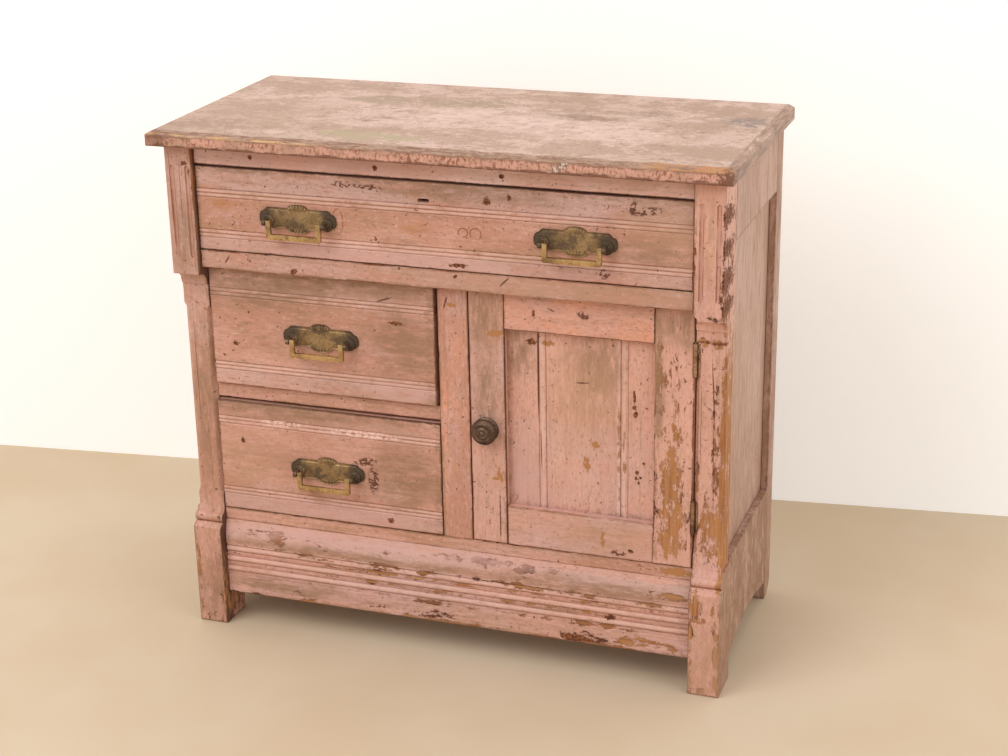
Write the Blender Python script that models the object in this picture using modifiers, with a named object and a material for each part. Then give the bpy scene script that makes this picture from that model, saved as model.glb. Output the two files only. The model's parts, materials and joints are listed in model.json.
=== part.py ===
"""A painted wooden washstand on four post feet: one wide drawer over two narrow ones and a panelled door.

Blender 4.5 script, metres, +Z up. The front faces -Y and the middle of the footprint is the origin.
Depths named *_SETBACK are measured backwards from the front edge of the top board.
"""

import math

import bmesh
import bpy
from mathutils import Matrix, Vector

# Clearances and how finely curves are cut
SEAT_GAP = 0.0003
OVERRUN = 0.004
WELD_DISTANCE = 0.00001
CURVE_STEPS = 6
# A face looks along an axis when its normal's part on that axis is over this share
FACING_SHARE = 0.9

# Top board
TOP_WIDTH = 0.780
TOP_DEPTH = 0.3656
TOP_THICKNESS = 0.020
TOP_BEVEL_RUN = 0.0087
TOP_BEVEL_DROP = 0.0043
SIDE_OVERHANG = 0.0137

# Heights of the front, stacked from the floor up
PLINTH_CLEARANCE = 0.0470
PLINTH_HEIGHT = 0.1100
BASE_RAIL_HEIGHT = 0.0177
DRAWER_FOOT_GAP = 0.0015
DRAWER_3_HEIGHT = 0.1613
DRAWER_3_HEAD_GAP = 0.0036
MIDDLE_RAIL_HEIGHT = 0.0199
DRAWER_2_HEIGHT = 0.1680
DRAWER_HEAD_GAP = 0.0016
UPPER_RAIL_HEIGHT = 0.0250
DRAWER_1_HEIGHT = 0.1139
TOP_RAIL_HEIGHT = 0.0273

PLINTH_TOP = PLINTH_CLEARANCE + PLINTH_HEIGHT
BASE_RAIL_TOP = PLINTH_TOP + SEAT_GAP + BASE_RAIL_HEIGHT
DRAWER_3_BOTTOM = BASE_RAIL_TOP + DRAWER_FOOT_GAP
DRAWER_3_TOP = DRAWER_3_BOTTOM + DRAWER_3_HEIGHT
MIDDLE_RAIL_BOTTOM = DRAWER_3_TOP + DRAWER_3_HEAD_GAP
MIDDLE_RAIL_TOP = MIDDLE_RAIL_BOTTOM + MIDDLE_RAIL_HEIGHT
DRAWER_2_BOTTOM = MIDDLE_RAIL_TOP + DRAWER_FOOT_GAP
DRAWER_2_TOP = DRAWER_2_BOTTOM + DRAWER_2_HEIGHT
UPPER_RAIL_BOTTOM = DRAWER_2_TOP + DRAWER_HEAD_GAP
UPPER_RAIL_TOP = UPPER_RAIL_BOTTOM + UPPER_RAIL_HEIGHT
DRAWER_1_BOTTOM = UPPER_RAIL_TOP + DRAWER_FOOT_GAP
DRAWER_1_TOP = DRAWER_1_BOTTOM + DRAWER_1_HEIGHT
TOP_RAIL_BOTTOM = DRAWER_1_TOP + DRAWER_HEAD_GAP
POST_TOP = TOP_RAIL_BOTTOM + TOP_RAIL_HEIGHT
TOP_UNDERSIDE = POST_TOP + SEAT_GAP
HEIGHT = TOP_UNDERSIDE + TOP_THICKNESS

# Depths from the top board's front edge
UPPER_POST_SETBACK = 0.0233
LOWER_POST_SETBACK = 0.0464
FOOT_SETBACK = 0.0288
POST_BACK_SETBACK = 0.0830
FOOT_BACK_SETBACK = 0.0880
UPPER_RAIL_SETBACK = 0.0305
DRAWER_1_SETBACK = 0.0300
BASE_RAIL_SETBACK = 0.0480
CENTRE_STILE_SETBACK = 0.0468
MIDDLE_RAIL_SETBACK = 0.0523
PLINTH_SETBACK = 0.0405

FRONT = -TOP_DEPTH / 2
BACK = TOP_DEPTH / 2
UPPER_POST_FACE = FRONT + UPPER_POST_SETBACK
LOWER_POST_FACE = FRONT + LOWER_POST_SETBACK
FOOT_FACE = FRONT + FOOT_SETBACK
POST_BACK = FRONT + POST_BACK_SETBACK
FOOT_BACK = FRONT + FOOT_BACK_SETBACK

# Front posts
POST_WIDTH = 0.0391
POST_OUTER = TOP_WIDTH / 2 - SIDE_OVERHANG
POST_INNER = POST_OUTER - POST_WIDTH
BLOCK_DROP = 0.0096
BLOCK_QUIRK = 0.0027
COVE_HEIGHT = 0.0161
LEDGE_PROUD = 0.0024
LEDGE_HEIGHT = 0.0027
BLOCK_BOTTOM = UPPER_RAIL_BOTTOM - BLOCK_DROP
COVE_BOTTOM = BLOCK_BOTTOM - COVE_HEIGHT
LEDGE_BOTTOM = COVE_BOTTOM - LEDGE_HEIGHT
FLUTE_WIDTH = 0.0070
FLUTE_DEPTH = 0.0020
FLUTE_SHARES = (0.25, 0.80)
FLUTE_HEAD = 0.0290
FLUTE_FOOT = 0.0240
CHAMFER = 0.0060
CHAMFER_STOP = 0.0080
CHAMFER_HEAD = 0.0283
CHAMFER_FOOT = 0.0200
FLUTE_SIDES = 12
FLUTE_RINGS = 5

# Feet
FOOT_BLOCK_HEIGHT = 0.1480
FOOT_SLOPE = 0.0055
FOOT_BEAD = 0.0130
FOOT_FILLET = 0.0070
FOOT_PROUD = 0.0029
FOOT_EASE = 0.0030
FOOT_SLOPE_RUN = 0.0082
FOOT_BEAD_PROUD = 0.0040
FOOT_FILLET_PROUD = 0.0030
FOOT_BEAD_BOTTOM = FOOT_BLOCK_HEIGHT + FOOT_SLOPE
FOOT_BEAD_TOP = FOOT_BEAD_BOTTOM + FOOT_BEAD
FOOT_TOP = FOOT_BEAD_TOP + FOOT_FILLET

# Side frames
REAR_POST_DEPTH = 0.0361
SIDE_FRAME_THICKNESS = 0.0220
SIDE_PANEL_SINK = 0.0100
SIDE_PANEL_THICKNESS = 0.0080
PANEL_TONGUE = 0.0060
SIDE_TOP_RAIL_HEIGHT = 0.0913
SIDE_ARCH_ENDS = 0.0260
SIDE_ARCH_CROWN = 0.0440
SIDE_ARCH_STEPS = 10
REAR_FOOT_RADIUS = 0.0280
REAR_POST_FRONT = BACK - REAR_POST_DEPTH
SIDE_INNER = POST_OUTER - SIDE_FRAME_THICKNESS
SIDE_PANEL_OUTER = POST_OUTER - SIDE_PANEL_SINK
SIDE_PANEL_INNER = SIDE_PANEL_OUTER - SIDE_PANEL_THICKNESS
SIDE_TOP_RAIL_BOTTOM = POST_TOP - SIDE_TOP_RAIL_HEIGHT

# Carcass
RAIL_DEPTH = 0.0200
BACK_PANEL_THICKNESS = 0.0080
BACK_PANEL_DROP = 0.0080
BOTTOM_BOARD_THICKNESS = 0.0120
BOTTOM_BOARD_DROP = 0.0050
PARTITION_THICKNESS = 0.0150
PARTITION_INSET = 0.0130
RUNNER_WIDTH = 0.0390
RUNNER_THICKNESS = 0.0120
BACK_PANEL_FACE = BACK - BACK_PANEL_THICKNESS
BASE_RAIL_FACE = FRONT + BASE_RAIL_SETBACK
BOTTOM_BOARD_TOP = BASE_RAIL_TOP - BOTTOM_BOARD_DROP
BOTTOM_BOARD_UNDERSIDE = BOTTOM_BOARD_TOP - BOTTOM_BOARD_THICKNESS
BACK_PANEL_BOTTOM = BOTTOM_BOARD_UNDERSIDE - BACK_PANEL_DROP
CASE_FRONT = BASE_RAIL_FACE + RAIL_DEPTH + SEAT_GAP
CASE_BACK = BACK_PANEL_FACE - SEAT_GAP

# Centre stile, left edge and width
STILE_LEFT = -0.0074
STILE_WIDTH = 0.0413
STILE_RIGHT = STILE_LEFT + STILE_WIDTH
PARTITION_LEFT = STILE_LEFT + PARTITION_INSET
PARTITION_RIGHT = PARTITION_LEFT + PARTITION_THICKNESS

# Plinth board: sloped top, fascia, reeds and a plain band
PLINTH_THICKNESS = 0.0200
PLINTH_SLOPE_RUN = 0.0075
PLINTH_SLOPE_DROP = 0.0212
PLINTH_FASCIA = 0.0156
REED_PITCH = 0.0154
REED_COUNT = 3
REED_SHARE = 0.60
REED_DEPTH = 0.0030
REED_FLAT_DEPTH = 0.0018
PLINTH_FACE = FRONT + PLINTH_SETBACK

# Drawers
DRAWER_SIDE_GAP = 0.0012
DRAWER_2_RIGHT_GAP = 0.0055
DRAWER_3_RIGHT_GAP = 0.0016
DRAWER_FRONT_THICKNESS = 0.0200
DRAWER_SIDE_THICKNESS = 0.0110
DRAWER_SIDE_INSET = 0.0005
DRAWER_SIDE_DROP = 0.0040
DRAWER_BACK_DROP = 0.0060
DRAWER_BACK_THICKNESS = 0.0110
DRAWER_BOTTOM_THICKNESS = 0.0060
DRAWER_GROOVE_HEIGHT = 0.0090
DRAWER_GROOVE_DEPTH = 0.0050
DRAWER_END_GAP = 0.0209
BEAD_PITCH = 0.0055
BEAD_DEPTH = 0.0014
BEAD_LIP = 0.0006
BEAD_COUNT = 2
DRAWER_1_BEAD_SHARES = (0.198, 0.682)
DRAWER_2_BEAD_SHARES = (0.159, 0.786)
DRAWER_3_BEAD_SHARES = (0.169, 0.824)
KEYHOLE_LENGTH = 0.0162
KEYHOLE_HEIGHT = 0.0050
KEYHOLE_X = -0.0155
KEYHOLE_SHARE = 0.782
DRAWER_END = CASE_BACK - DRAWER_END_GAP
DRAWER_LEFT = DRAWER_SIDE_GAP - POST_INNER

# Door
DOOR_THICKNESS = 0.0200
DOOR_GAP = 0.0016
HINGE_GAP = 0.0017
DOOR_LEFT_STILE = 0.0484
DOOR_RIGHT_STILE = 0.0512
DOOR_TOP_RAIL = 0.0505
DOOR_BOTTOM_RAIL = 0.0550
DOOR_PANEL_SINK = 0.0117
DOOR_PANEL_THICKNESS = 0.0060
DOOR_PANEL_BEAD_SHARES = (0.236, 0.788)
DOOR_PANEL_BEAD = 0.0100
DOOR_PANEL_BEAD_DEPTH = 0.0016
DOOR_LEFT = STILE_RIGHT + DOOR_GAP
DOOR_RIGHT = POST_INNER - HINGE_GAP
DOOR_BOTTOM = DRAWER_3_BOTTOM
DOOR_TOP = DRAWER_2_TOP
DOOR_FACE = LOWER_POST_FACE
DOOR_BACK = DOOR_FACE + DOOR_THICKNESS
DOOR_PANEL_FACE = DOOR_FACE + DOOR_PANEL_SINK
DOOR_PANEL_BACK = DOOR_PANEL_FACE + DOOR_PANEL_THICKNESS
DOOR_FIELD_LEFT = DOOR_LEFT + DOOR_LEFT_STILE
DOOR_FIELD_RIGHT = DOOR_RIGHT - DOOR_RIGHT_STILE
DOOR_FIELD_BOTTOM = DOOR_BOTTOM + DOOR_BOTTOM_RAIL
DOOR_FIELD_TOP = DOOR_TOP - DOOR_TOP_RAIL

# Hinges: the post leaf is let into the post's chamfer, the door leaf into the door's edge
HINGE_LENGTH = 0.0435
HINGE_HEAD_DROP = 0.0671
HINGE_FOOT_RISE = 0.0715
KNUCKLE_RADIUS = 0.0029
KNUCKLE_COUNT = 5
KNUCKLE_SIDES = 16
PIN_RADIUS = 0.0012
PIN_CLEARANCE = 0.0001
KNUCKLE_CLEARANCE = 0.0003
PIN_TIP = 0.0020
LEAF_THICKNESS = 0.0019
LEAF_BITE = 0.0004
LEAF_WIDTH = 0.0068
LEAF_START = 0.0015
DOOR_LEAF_REACH = 0.0160
DOOR_LEAF_THICKNESS = 0.0013
HINGE_UPPER_HEIGHT = DOOR_TOP - HINGE_HEAD_DROP
HINGE_LOWER_HEIGHT = DOOR_BOTTOM + HINGE_FOOT_RISE
HINGE_X = DOOR_RIGHT + HINGE_GAP / 2
CHAMFER_DISTANCE = LEAF_THICKNESS + KNUCKLE_RADIUS - LEAF_BITE
HINGE_Y = LOWER_POST_FACE + CHAMFER - (HINGE_X - POST_INNER) - CHAMFER_DISTANCE * math.sqrt(2)

# Door knob: rings turned on its face, a spindle through the stile and a latch tongue behind it
KNOB_INSET = 0.0217
KNOB_RISE = 0.1620
KNOB_RADIUS = 0.0178
KNOB_REACH = 0.0200
KNOB_STEPS = 32
SPINDLE_RADIUS = 0.0040
SPINDLE_CLEARANCE = 0.0001
TONGUE_WIDTH = 0.0120
TONGUE_THICKNESS = 0.0030
TONGUE_LENGTH = 0.0320
TONGUE_CLEARANCE = 0.0012
KNOB_FOOT_SHARE = 0.97
KNOB_X = DOOR_LEFT + KNOB_INSET
KNOB_HEIGHT = DOOR_BOTTOM + KNOB_RISE
# Turned profile from the axis outwards and back to the door: shares of the radius and of the reach
KNOB_PROFILE_SHARES = (
    (0.00, 1.00),
    (0.10, 0.98),
    (0.17, 0.90),
    (0.24, 0.86),
    (0.36, 0.90),
    (0.44, 0.84),
    (0.56, 0.80),
    (0.70, 0.86),
    (0.80, 0.84),
    (0.92, 0.74),
    (1.00, 0.58),
    (0.98, 0.44),
    (0.86, 0.32),
    (0.78, 0.22),
    (0.84, 0.12),
    (0.95, 0.08),
)

# Drawer pulls: a cast plate with two lugs, and a square bail hung between them
PULL_1_INSET = 0.1453
PULL_2_INSET = 0.1501
PULL_LOWER_INSET = 0.1615
PULL_DRAWER_1_SHARE = 0.448
PULL_DRAWER_2_SHARE = 0.473
PULL_DRAWER_3_SHARE = 0.457
PLATE_WIDTH = 0.1084
PLATE_CREST = 0.0200
PLATE_FOOT = 0.0190
PLATE_THICKNESS = 0.0022
ROSETTE_RADIUS = 0.0078
ROSETTE_HEIGHT = 0.0040
LUG_SPREAD = 0.0830
LUG_THICKNESS = 0.0048
LUG_RADIUS = 0.0040
LUG_SIDES = 20
BAIL_WIDTH = 0.0775
BAIL_STRAP = 0.0068
BAIL_DEPTH = 0.0050
BAIL_DROP = 0.0217
BAIL_RISE = 0.0032
BAIL_STAND = 0.0168
BAIL_CORNER = 0.0020
BAIL_PIN_RADIUS = 0.0016
BAIL_PIN_CLEARANCE = 0.0001
PIVOT_DROP = 0.0030
PIN_SIDES = 12
PULL_1_X = DRAWER_LEFT + PULL_1_INSET
PULL_2_X = -DRAWER_LEFT - PULL_2_INSET
PULL_LOWER_X = DRAWER_LEFT + PULL_LOWER_INSET
# Right half of the plate's outline, from the middle of the crest down: shares of half the width,
# and of the crest height above the middle or of the foot height below it
PLATE_OUTLINE_SHARES = (
    (0.00, 1.00),
    (0.12, 0.98),
    (0.20, 0.92),
    (0.26, 0.82),
    (0.28, 0.72),
    (0.78, 0.72),
    (0.84, 0.62),
    (0.88, 0.48),
    (0.97, 0.36),
    (1.00, 0.14),
    (1.00, -0.20),
    (0.97, -0.38),
    (0.88, -0.48),
    (0.84, -0.62),
    (0.76, -0.70),
    (0.30, -0.66),
    (0.28, -0.76),
    (0.21, -0.90),
    (0.12, -0.98),
    (0.00, -1.00),
)


def clear_scene():
    for obj in list(bpy.data.objects):
        bpy.data.objects.remove(obj)


def new_collection(name):
    collection = bpy.data.collections.new(name)
    bpy.context.scene.collection.children.link(collection)
    return collection


def new_material(name, color, roughness, metallic=0.0):
    material = bpy.data.materials.new(name)
    material.use_nodes = True
    shader = material.node_tree.nodes["Principled BSDF"]
    shader.inputs["Base Color"].default_value = (*color, 1)
    shader.inputs["Roughness"].default_value = roughness
    shader.inputs["Metallic"].default_value = metallic
    material.diffuse_color = (*color, 1)
    return material


clear_scene()
STAND = new_collection("washstand")
CUTTERS = new_collection("cutters")
PAINT = new_material("pink_paint", (0.61, 0.28, 0.20), 0.55)
SIDE_PAINT = new_material("side_paint", (0.57, 0.41, 0.29), 0.6)
TOP_PAINT = new_material("top_paint", (0.73, 0.53, 0.43), 0.5)
BARE_WOOD = new_material("inner_wood", (0.48, 0.30, 0.16), 0.75)
BRASS = new_material("aged_brass", (0.29, 0.21, 0.10), 0.45, 1.0)
IRON = new_material("hinge_metal", (0.20, 0.13, 0.06), 0.5, 1.0)
KNOB_METAL = new_material("knob_metal", (0.12, 0.08, 0.05), 0.5, 0.8)


def finish(obj, material, collection):
    """Link an object and give it its material; helpers go with the cutters and stay out of renders."""
    collection.objects.link(obj)
    if material is not None:
        obj.data.materials.append(material)
    if collection is CUTTERS:
        obj.hide_render = True
        obj.display_type = "WIRE"
    return obj


def from_shape(name, shape, location, material, collection):
    mesh = bpy.data.meshes.new(name)
    shape.to_mesh(mesh)
    shape.free()
    obj = bpy.data.objects.new(name, mesh)
    obj.location = location
    return finish(obj, material, collection)


def in_plane(plane, across, up, level):
    """World point of an outline's point in the plane of two named axes, at a level on the third."""
    places = {plane[0]: across, plane[1]: up}
    return [places.get(axis, level) for axis in "XYZ"]


def prism(name, outline, plane, span, material=None, collection=STAND):
    """An outline in a world plane, extruded along the third axis between the two values of span."""
    shape = bmesh.new()
    ends = []
    for level in sorted(span):
        ends.append([shape.verts.new(in_plane(plane, across, up, level)) for across, up in outline])
        shape.faces.new(ends[-1])
    for index, near in enumerate(ends[0]):
        shape.faces.new((ends[0][index - 1], near, ends[1][index], ends[1][index - 1]))
    bmesh.ops.remove_doubles(shape, verts=shape.verts, dist=WELD_DISTANCE)
    bmesh.ops.recalc_face_normals(shape, faces=shape.faces)
    return from_shape(name, shape, (0, 0, 0), material, collection)


def box(name, xs, ys, zs, material=None, collection=STAND):
    """A box between two values on each axis, given in either order."""
    corners = [(xs[0], ys[0]), (xs[1], ys[0]), (xs[1], ys[1]), (xs[0], ys[1])]
    return prism(name, corners, "XY", zs, material, collection)


def rod(name, centre, radius, length, axis, sides, material=None, collection=STAND):
    """A cylinder along one of the three axes."""
    shape = bmesh.new()
    bmesh.ops.create_cone(
        shape, cap_ends=True, segments=sides, radius1=radius, radius2=radius, depth=length
    )
    turn = Vector((0, 0, 1)).rotation_difference(Vector(axis)).to_matrix()
    bmesh.ops.rotate(shape, cent=(0, 0, 0), matrix=turn, verts=shape.verts)
    return from_shape(name, shape, centre, material, collection)


def combine(obj, other, operation):
    modifier = obj.modifiers.new(other.name, "BOOLEAN")
    modifier.operation = operation
    modifier.object = other
    modifier.solver = "EXACT"
    return obj


def cut(obj, *cutters):
    for cutter in cutters:
        combine(obj, cutter, "DIFFERENCE")
    return obj


def join(obj, *pieces):
    for piece in pieces:
        combine(obj, piece, "UNION")
    return obj


def joint_empty(name, location, parent=None):
    """An empty on a joint's axis that carries the pieces which move on it."""
    empty = bpy.data.objects.new(name, None)
    empty.location = location
    STAND.objects.link(empty)
    if parent is not None:
        hang(parent, empty)
    return empty


def hang(parent, *pieces):
    bpy.context.view_layer.update()
    for piece in pieces:
        piece.parent = parent
        piece.matrix_parent_inverse = parent.matrix_world.inverted()
    bpy.context.view_layer.update()


def side_name(side):
    return "right" if side > 0 else "left"


def quarter_arc(centre, radii, start, end):
    """Points on an ellipse about centre between two angles in degrees."""
    points = []
    for step in range(CURVE_STEPS + 1):
        angle = math.radians(start + (end - start) * step / CURVE_STEPS)
        points.append((centre[0] + radii[0] * math.cos(angle), centre[1] + radii[1] * math.sin(angle)))
    return points


def bead_band(face, middle, count, pitch, depth, into=1):
    """Points (depth place, run place) of flush beads between quirks, along increasing run."""
    start = middle - count * pitch / 2
    points = [(face, start - BEAD_LIP), (face + into * depth, start)]
    for bead in range(count):
        for step in range(1, CURVE_STEPS):
            angle = math.pi * step / CURVE_STEPS
            along = start + pitch * (bead + (1 - math.cos(angle)) / 2)
            points.append((face + into * depth * (1 - math.sin(angle)), along))
        points.append((face + into * depth, start + pitch * (bead + 1)))
    points.append((face, start + pitch * count + BEAD_LIP))
    return points


def top_board():
    """The board, its front and end edges bevelled on the upper side and its back edge square."""
    half = TOP_WIDTH / 2
    lip = HEIGHT - TOP_BEVEL_DROP
    board = box("top_board", (-half, half), (FRONT, BACK), (TOP_UNDERSIDE, lip), TOP_PAINT)
    shape = bmesh.new()
    shape.from_mesh(board.data)
    upper = [face for face in shape.faces if face.normal.z > FACING_SHARE]
    raised = bmesh.ops.extrude_face_region(shape, geom=upper)["geom"]
    bmesh.ops.delete(shape, geom=upper, context="FACES")
    for vertex in (item for item in raised if isinstance(item, bmesh.types.BMVert)):
        vertex.co.z += TOP_BEVEL_DROP
        vertex.co.x -= math.copysign(TOP_BEVEL_RUN, vertex.co.x)
        vertex.co.y += TOP_BEVEL_RUN if vertex.co.y < 0 else 0
    bmesh.ops.recalc_face_normals(shape, faces=shape.faces)
    shape.to_mesh(board.data)
    shape.free()
    return board


def foot_outline():
    """Side view of a foot: block, slope, half-round bead and fillet up to the post."""
    bead_face = LOWER_POST_FACE - FOOT_BEAD_PROUD - FOOT_BEAD / 2
    bead_centre = (bead_face + FOOT_BEAD / 2, FOOT_BEAD_BOTTOM + FOOT_BEAD / 2)
    outline = [
        (FOOT_BACK, 0),
        (FOOT_FACE + FOOT_EASE, 0),
        (FOOT_FACE, FOOT_EASE),
        (FOOT_FACE, FOOT_BLOCK_HEIGHT),
        (FOOT_FACE + FOOT_SLOPE_RUN, FOOT_BEAD_BOTTOM),
    ]
    outline += quarter_arc(bead_centre, (FOOT_BEAD / 2, FOOT_BEAD / 2), 270, 90)
    outline += [
        (LOWER_POST_FACE - FOOT_FILLET_PROUD, FOOT_BEAD_TOP),
        (LOWER_POST_FACE, FOOT_TOP),
        (FOOT_BACK, FOOT_TOP),
    ]
    return outline


def post_outline():
    """Side view of a front post above its foot: thin below, a cove, and the thick block above."""
    cove_start = UPPER_POST_FACE + BLOCK_QUIRK
    cove_reach = LOWER_POST_FACE - LEDGE_PROUD - cove_start
    outline = [
        (POST_BACK, FOOT_TOP / 2),
        (LOWER_POST_FACE, FOOT_TOP / 2),
        (LOWER_POST_FACE, LEDGE_BOTTOM),
        (LOWER_POST_FACE - LEDGE_PROUD, LEDGE_BOTTOM),
    ]
    outline += quarter_arc((cove_start, COVE_BOTTOM), (cove_reach, COVE_HEIGHT), 0, 90)
    outline += [
        (UPPER_POST_FACE, BLOCK_BOTTOM),
        (UPPER_POST_FACE, POST_TOP),
        (POST_BACK, POST_TOP),
    ]
    return outline


def flute_cutter(name, x, zs):
    """A round-ended rod that cuts a shallow flute into the post's upper face."""
    radius = (FLUTE_WIDTH**2 / 4 + FLUTE_DEPTH**2) / (2 * FLUTE_DEPTH)
    shape = bmesh.new()
    bmesh.ops.create_uvsphere(shape, u_segments=FLUTE_SIDES, v_segments=FLUTE_RINGS, radius=radius)
    stretch = (max(zs) - min(zs)) / 2 - FLUTE_WIDTH / 2
    for vertex in shape.verts:
        vertex.co.z += math.copysign(stretch, vertex.co.z)
    centre = (x, UPPER_POST_FACE - radius + FLUTE_DEPTH, sum(zs) / 2)
    return from_shape(name, shape, centre, None, CUTTERS)


def chamfer_cutter(name, x, zs):
    """A diamond rod with pointed ends that takes a stopped chamfer off a corner of the lower post."""
    shape = bmesh.new()
    length = max(zs) - min(zs) - 2 * CHAMFER_STOP
    bmesh.ops.create_cone(
        shape, cap_ends=True, segments=4, radius1=CHAMFER, radius2=CHAMFER, depth=length
    )
    caps = [face for face in shape.faces if abs(face.normal.z) > FACING_SHARE]
    tips = bmesh.ops.poke(shape, faces=caps)["verts"]
    for tip in tips:
        tip.co.z += math.copysign(CHAMFER_STOP, tip.co.z)
    centre = (x, LOWER_POST_FACE, sum(zs) / 2)
    return from_shape(name, shape, centre, None, CUTTERS)


def front_post(side):
    name = f"front_post_{side_name(side)}"
    post = prism(name, post_outline(), "YZ", (side * POST_INNER, side * POST_OUTER), PAINT)
    foot_span = (side * POST_INNER, side * (POST_OUTER + FOOT_PROUD))
    join(post, prism(name + "_foot", foot_outline(), "YZ", foot_span, None, CUTTERS))
    flute_zs = (BLOCK_BOTTOM + FLUTE_FOOT, POST_TOP - FLUTE_HEAD)
    for number, share in enumerate(FLUTE_SHARES):
        x = side * POST_INNER + (share if side > 0 else share - 1) * POST_WIDTH
        cut(post, flute_cutter(f"{name}_flute_{number}", x, flute_zs))
    chamfer_zs = (FOOT_TOP + CHAMFER_FOOT, LEDGE_BOTTOM - CHAMFER_HEAD)
    for edge, x in (("inner", POST_INNER), ("outer", POST_OUTER)):
        cut(post, chamfer_cutter(f"{name}_chamfer_{edge}", side * x, chamfer_zs))
    cut(post, panel_groove(name, side, POST_BACK, (FOOT_TOP, SIDE_TOP_RAIL_BOTTOM)))
    return post


def panel_groove(name, side, face, zs):
    """Cutter for the groove that holds an upright edge of the side panel."""
    xs = (side * (SIDE_PANEL_INNER - SEAT_GAP), side * (SIDE_PANEL_OUTER + SEAT_GAP))
    depth = PANEL_TONGUE + SEAT_GAP
    return box(name + "_groove", xs, (face - depth, face + depth), zs, None, CUTTERS)


def rear_post(side):
    name = f"rear_post_{side_name(side)}"
    heel = (BACK - REAR_FOOT_RADIUS, REAR_FOOT_RADIUS)
    outline = [(REAR_POST_FRONT, 0)]
    outline += quarter_arc(heel, (REAR_FOOT_RADIUS, REAR_FOOT_RADIUS), 270, 360)
    outline += [(BACK, POST_TOP), (REAR_POST_FRONT, POST_TOP)]
    post = prism(name, outline, "YZ", (side * SIDE_INNER, side * POST_OUTER), SIDE_PAINT)
    zs = (FOOT_TOP, SIDE_TOP_RAIL_BOTTOM)
    return cut(post, panel_groove(name, side, REAR_POST_FRONT, zs))


def side_panel(side):
    """A flat board with a tongue on each edge; its corners are notched clear of the foot."""
    tongue = PANEL_TONGUE
    front, back = POST_BACK, REAR_POST_FRONT
    floor, head = FOOT_TOP, SIDE_TOP_RAIL_BOTTOM
    inner_front = FOOT_BACK + 2 * SEAT_GAP
    inner_back = back - 2 * SEAT_GAP
    outline = [
        (inner_front, floor - tongue),
        (inner_back, floor - tongue),
        (inner_back, floor + SEAT_GAP),
        (back + tongue, floor + SEAT_GAP),
        (back + tongue, head - SEAT_GAP),
        (inner_back, head - SEAT_GAP),
        (inner_back, head + tongue),
        (inner_front, head + tongue),
        (inner_front, head - SEAT_GAP),
        (front - tongue, head - SEAT_GAP),
        (front - tongue, floor + SEAT_GAP),
        (inner_front, floor + SEAT_GAP),
    ]
    span = (side * SIDE_PANEL_INNER, side * SIDE_PANEL_OUTER)
    return prism(f"side_panel_{side_name(side)}", outline, "YZ", span, SIDE_PAINT)


def side_top_rail(side):
    """Fills the frame between the posts above the panel, grooved underneath for it."""
    groove_top = SIDE_TOP_RAIL_BOTTOM + PANEL_TONGUE + SEAT_GAP
    inner = SIDE_PANEL_INNER - SEAT_GAP
    outer = SIDE_PANEL_OUTER + SEAT_GAP
    outline = [
        (side * SIDE_INNER, SIDE_TOP_RAIL_BOTTOM),
        (side * inner, SIDE_TOP_RAIL_BOTTOM),
        (side * inner, groove_top),
        (side * outer, groove_top),
        (side * outer, SIDE_TOP_RAIL_BOTTOM),
        (side * POST_OUTER, SIDE_TOP_RAIL_BOTTOM),
        (side * POST_OUTER, POST_TOP),
        (side * SIDE_INNER, POST_TOP),
    ]
    ys = (POST_BACK + SEAT_GAP, REAR_POST_FRONT - SEAT_GAP)
    return prism(f"side_top_rail_{side_name(side)}", outline, "XZ", ys, SIDE_PAINT)


def side_bottom_rail(side):
    """Shallow arch between the front foot and the rear post, grooved on top for the panel."""
    name = f"side_bottom_rail_{side_name(side)}"
    front = FOOT_BACK + SEAT_GAP
    back = REAR_POST_FRONT - SEAT_GAP
    outline = [(back, FOOT_TOP), (front, FOOT_TOP)]
    for step in range(SIDE_ARCH_STEPS + 1):
        share = step / SIDE_ARCH_STEPS
        rise = (SIDE_ARCH_CROWN - SIDE_ARCH_ENDS) * math.sin(math.pi * share)
        outline.append((front + (back - front) * share, SIDE_ARCH_ENDS + rise))
    rail = prism(name, outline, "YZ", (side * SIDE_INNER, side * POST_OUTER), SIDE_PAINT)
    xs = (side * (SIDE_PANEL_INNER - SEAT_GAP), side * (SIDE_PANEL_OUTER + SEAT_GAP))
    zs = (FOOT_TOP - PANEL_TONGUE - SEAT_GAP, FOOT_TOP + OVERRUN)
    groove = box(name + "_groove", xs, (front - OVERRUN, back + OVERRUN), zs, None, CUTTERS)
    return cut(rail, groove)


def front_rail(name, setback, xs, zs):
    face = FRONT + setback
    return box(name, xs, (face, face + RAIL_DEPTH), zs, PAINT)


def front_rails():
    """The rails and the centre stile that frame the drawers and the door."""
    reach = POST_INNER - SEAT_GAP
    full = (-reach, reach)
    front_rail("top_rail", UPPER_RAIL_SETBACK, full, (TOP_RAIL_BOTTOM, POST_TOP))
    front_rail("upper_drawer_rail", UPPER_RAIL_SETBACK, full, (UPPER_RAIL_BOTTOM, UPPER_RAIL_TOP))
    front_rail("base_rail", BASE_RAIL_SETBACK, full, (PLINTH_TOP + SEAT_GAP, BASE_RAIL_TOP))
    left = (-reach, STILE_LEFT - SEAT_GAP)
    front_rail("middle_drawer_rail", MIDDLE_RAIL_SETBACK, left, (MIDDLE_RAIL_BOTTOM, MIDDLE_RAIL_TOP))
    upright = (BASE_RAIL_TOP + SEAT_GAP, UPPER_RAIL_BOTTOM - SEAT_GAP)
    front_rail("centre_stile", CENTRE_STILE_SETBACK, (STILE_LEFT, STILE_RIGHT), upright)


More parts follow.
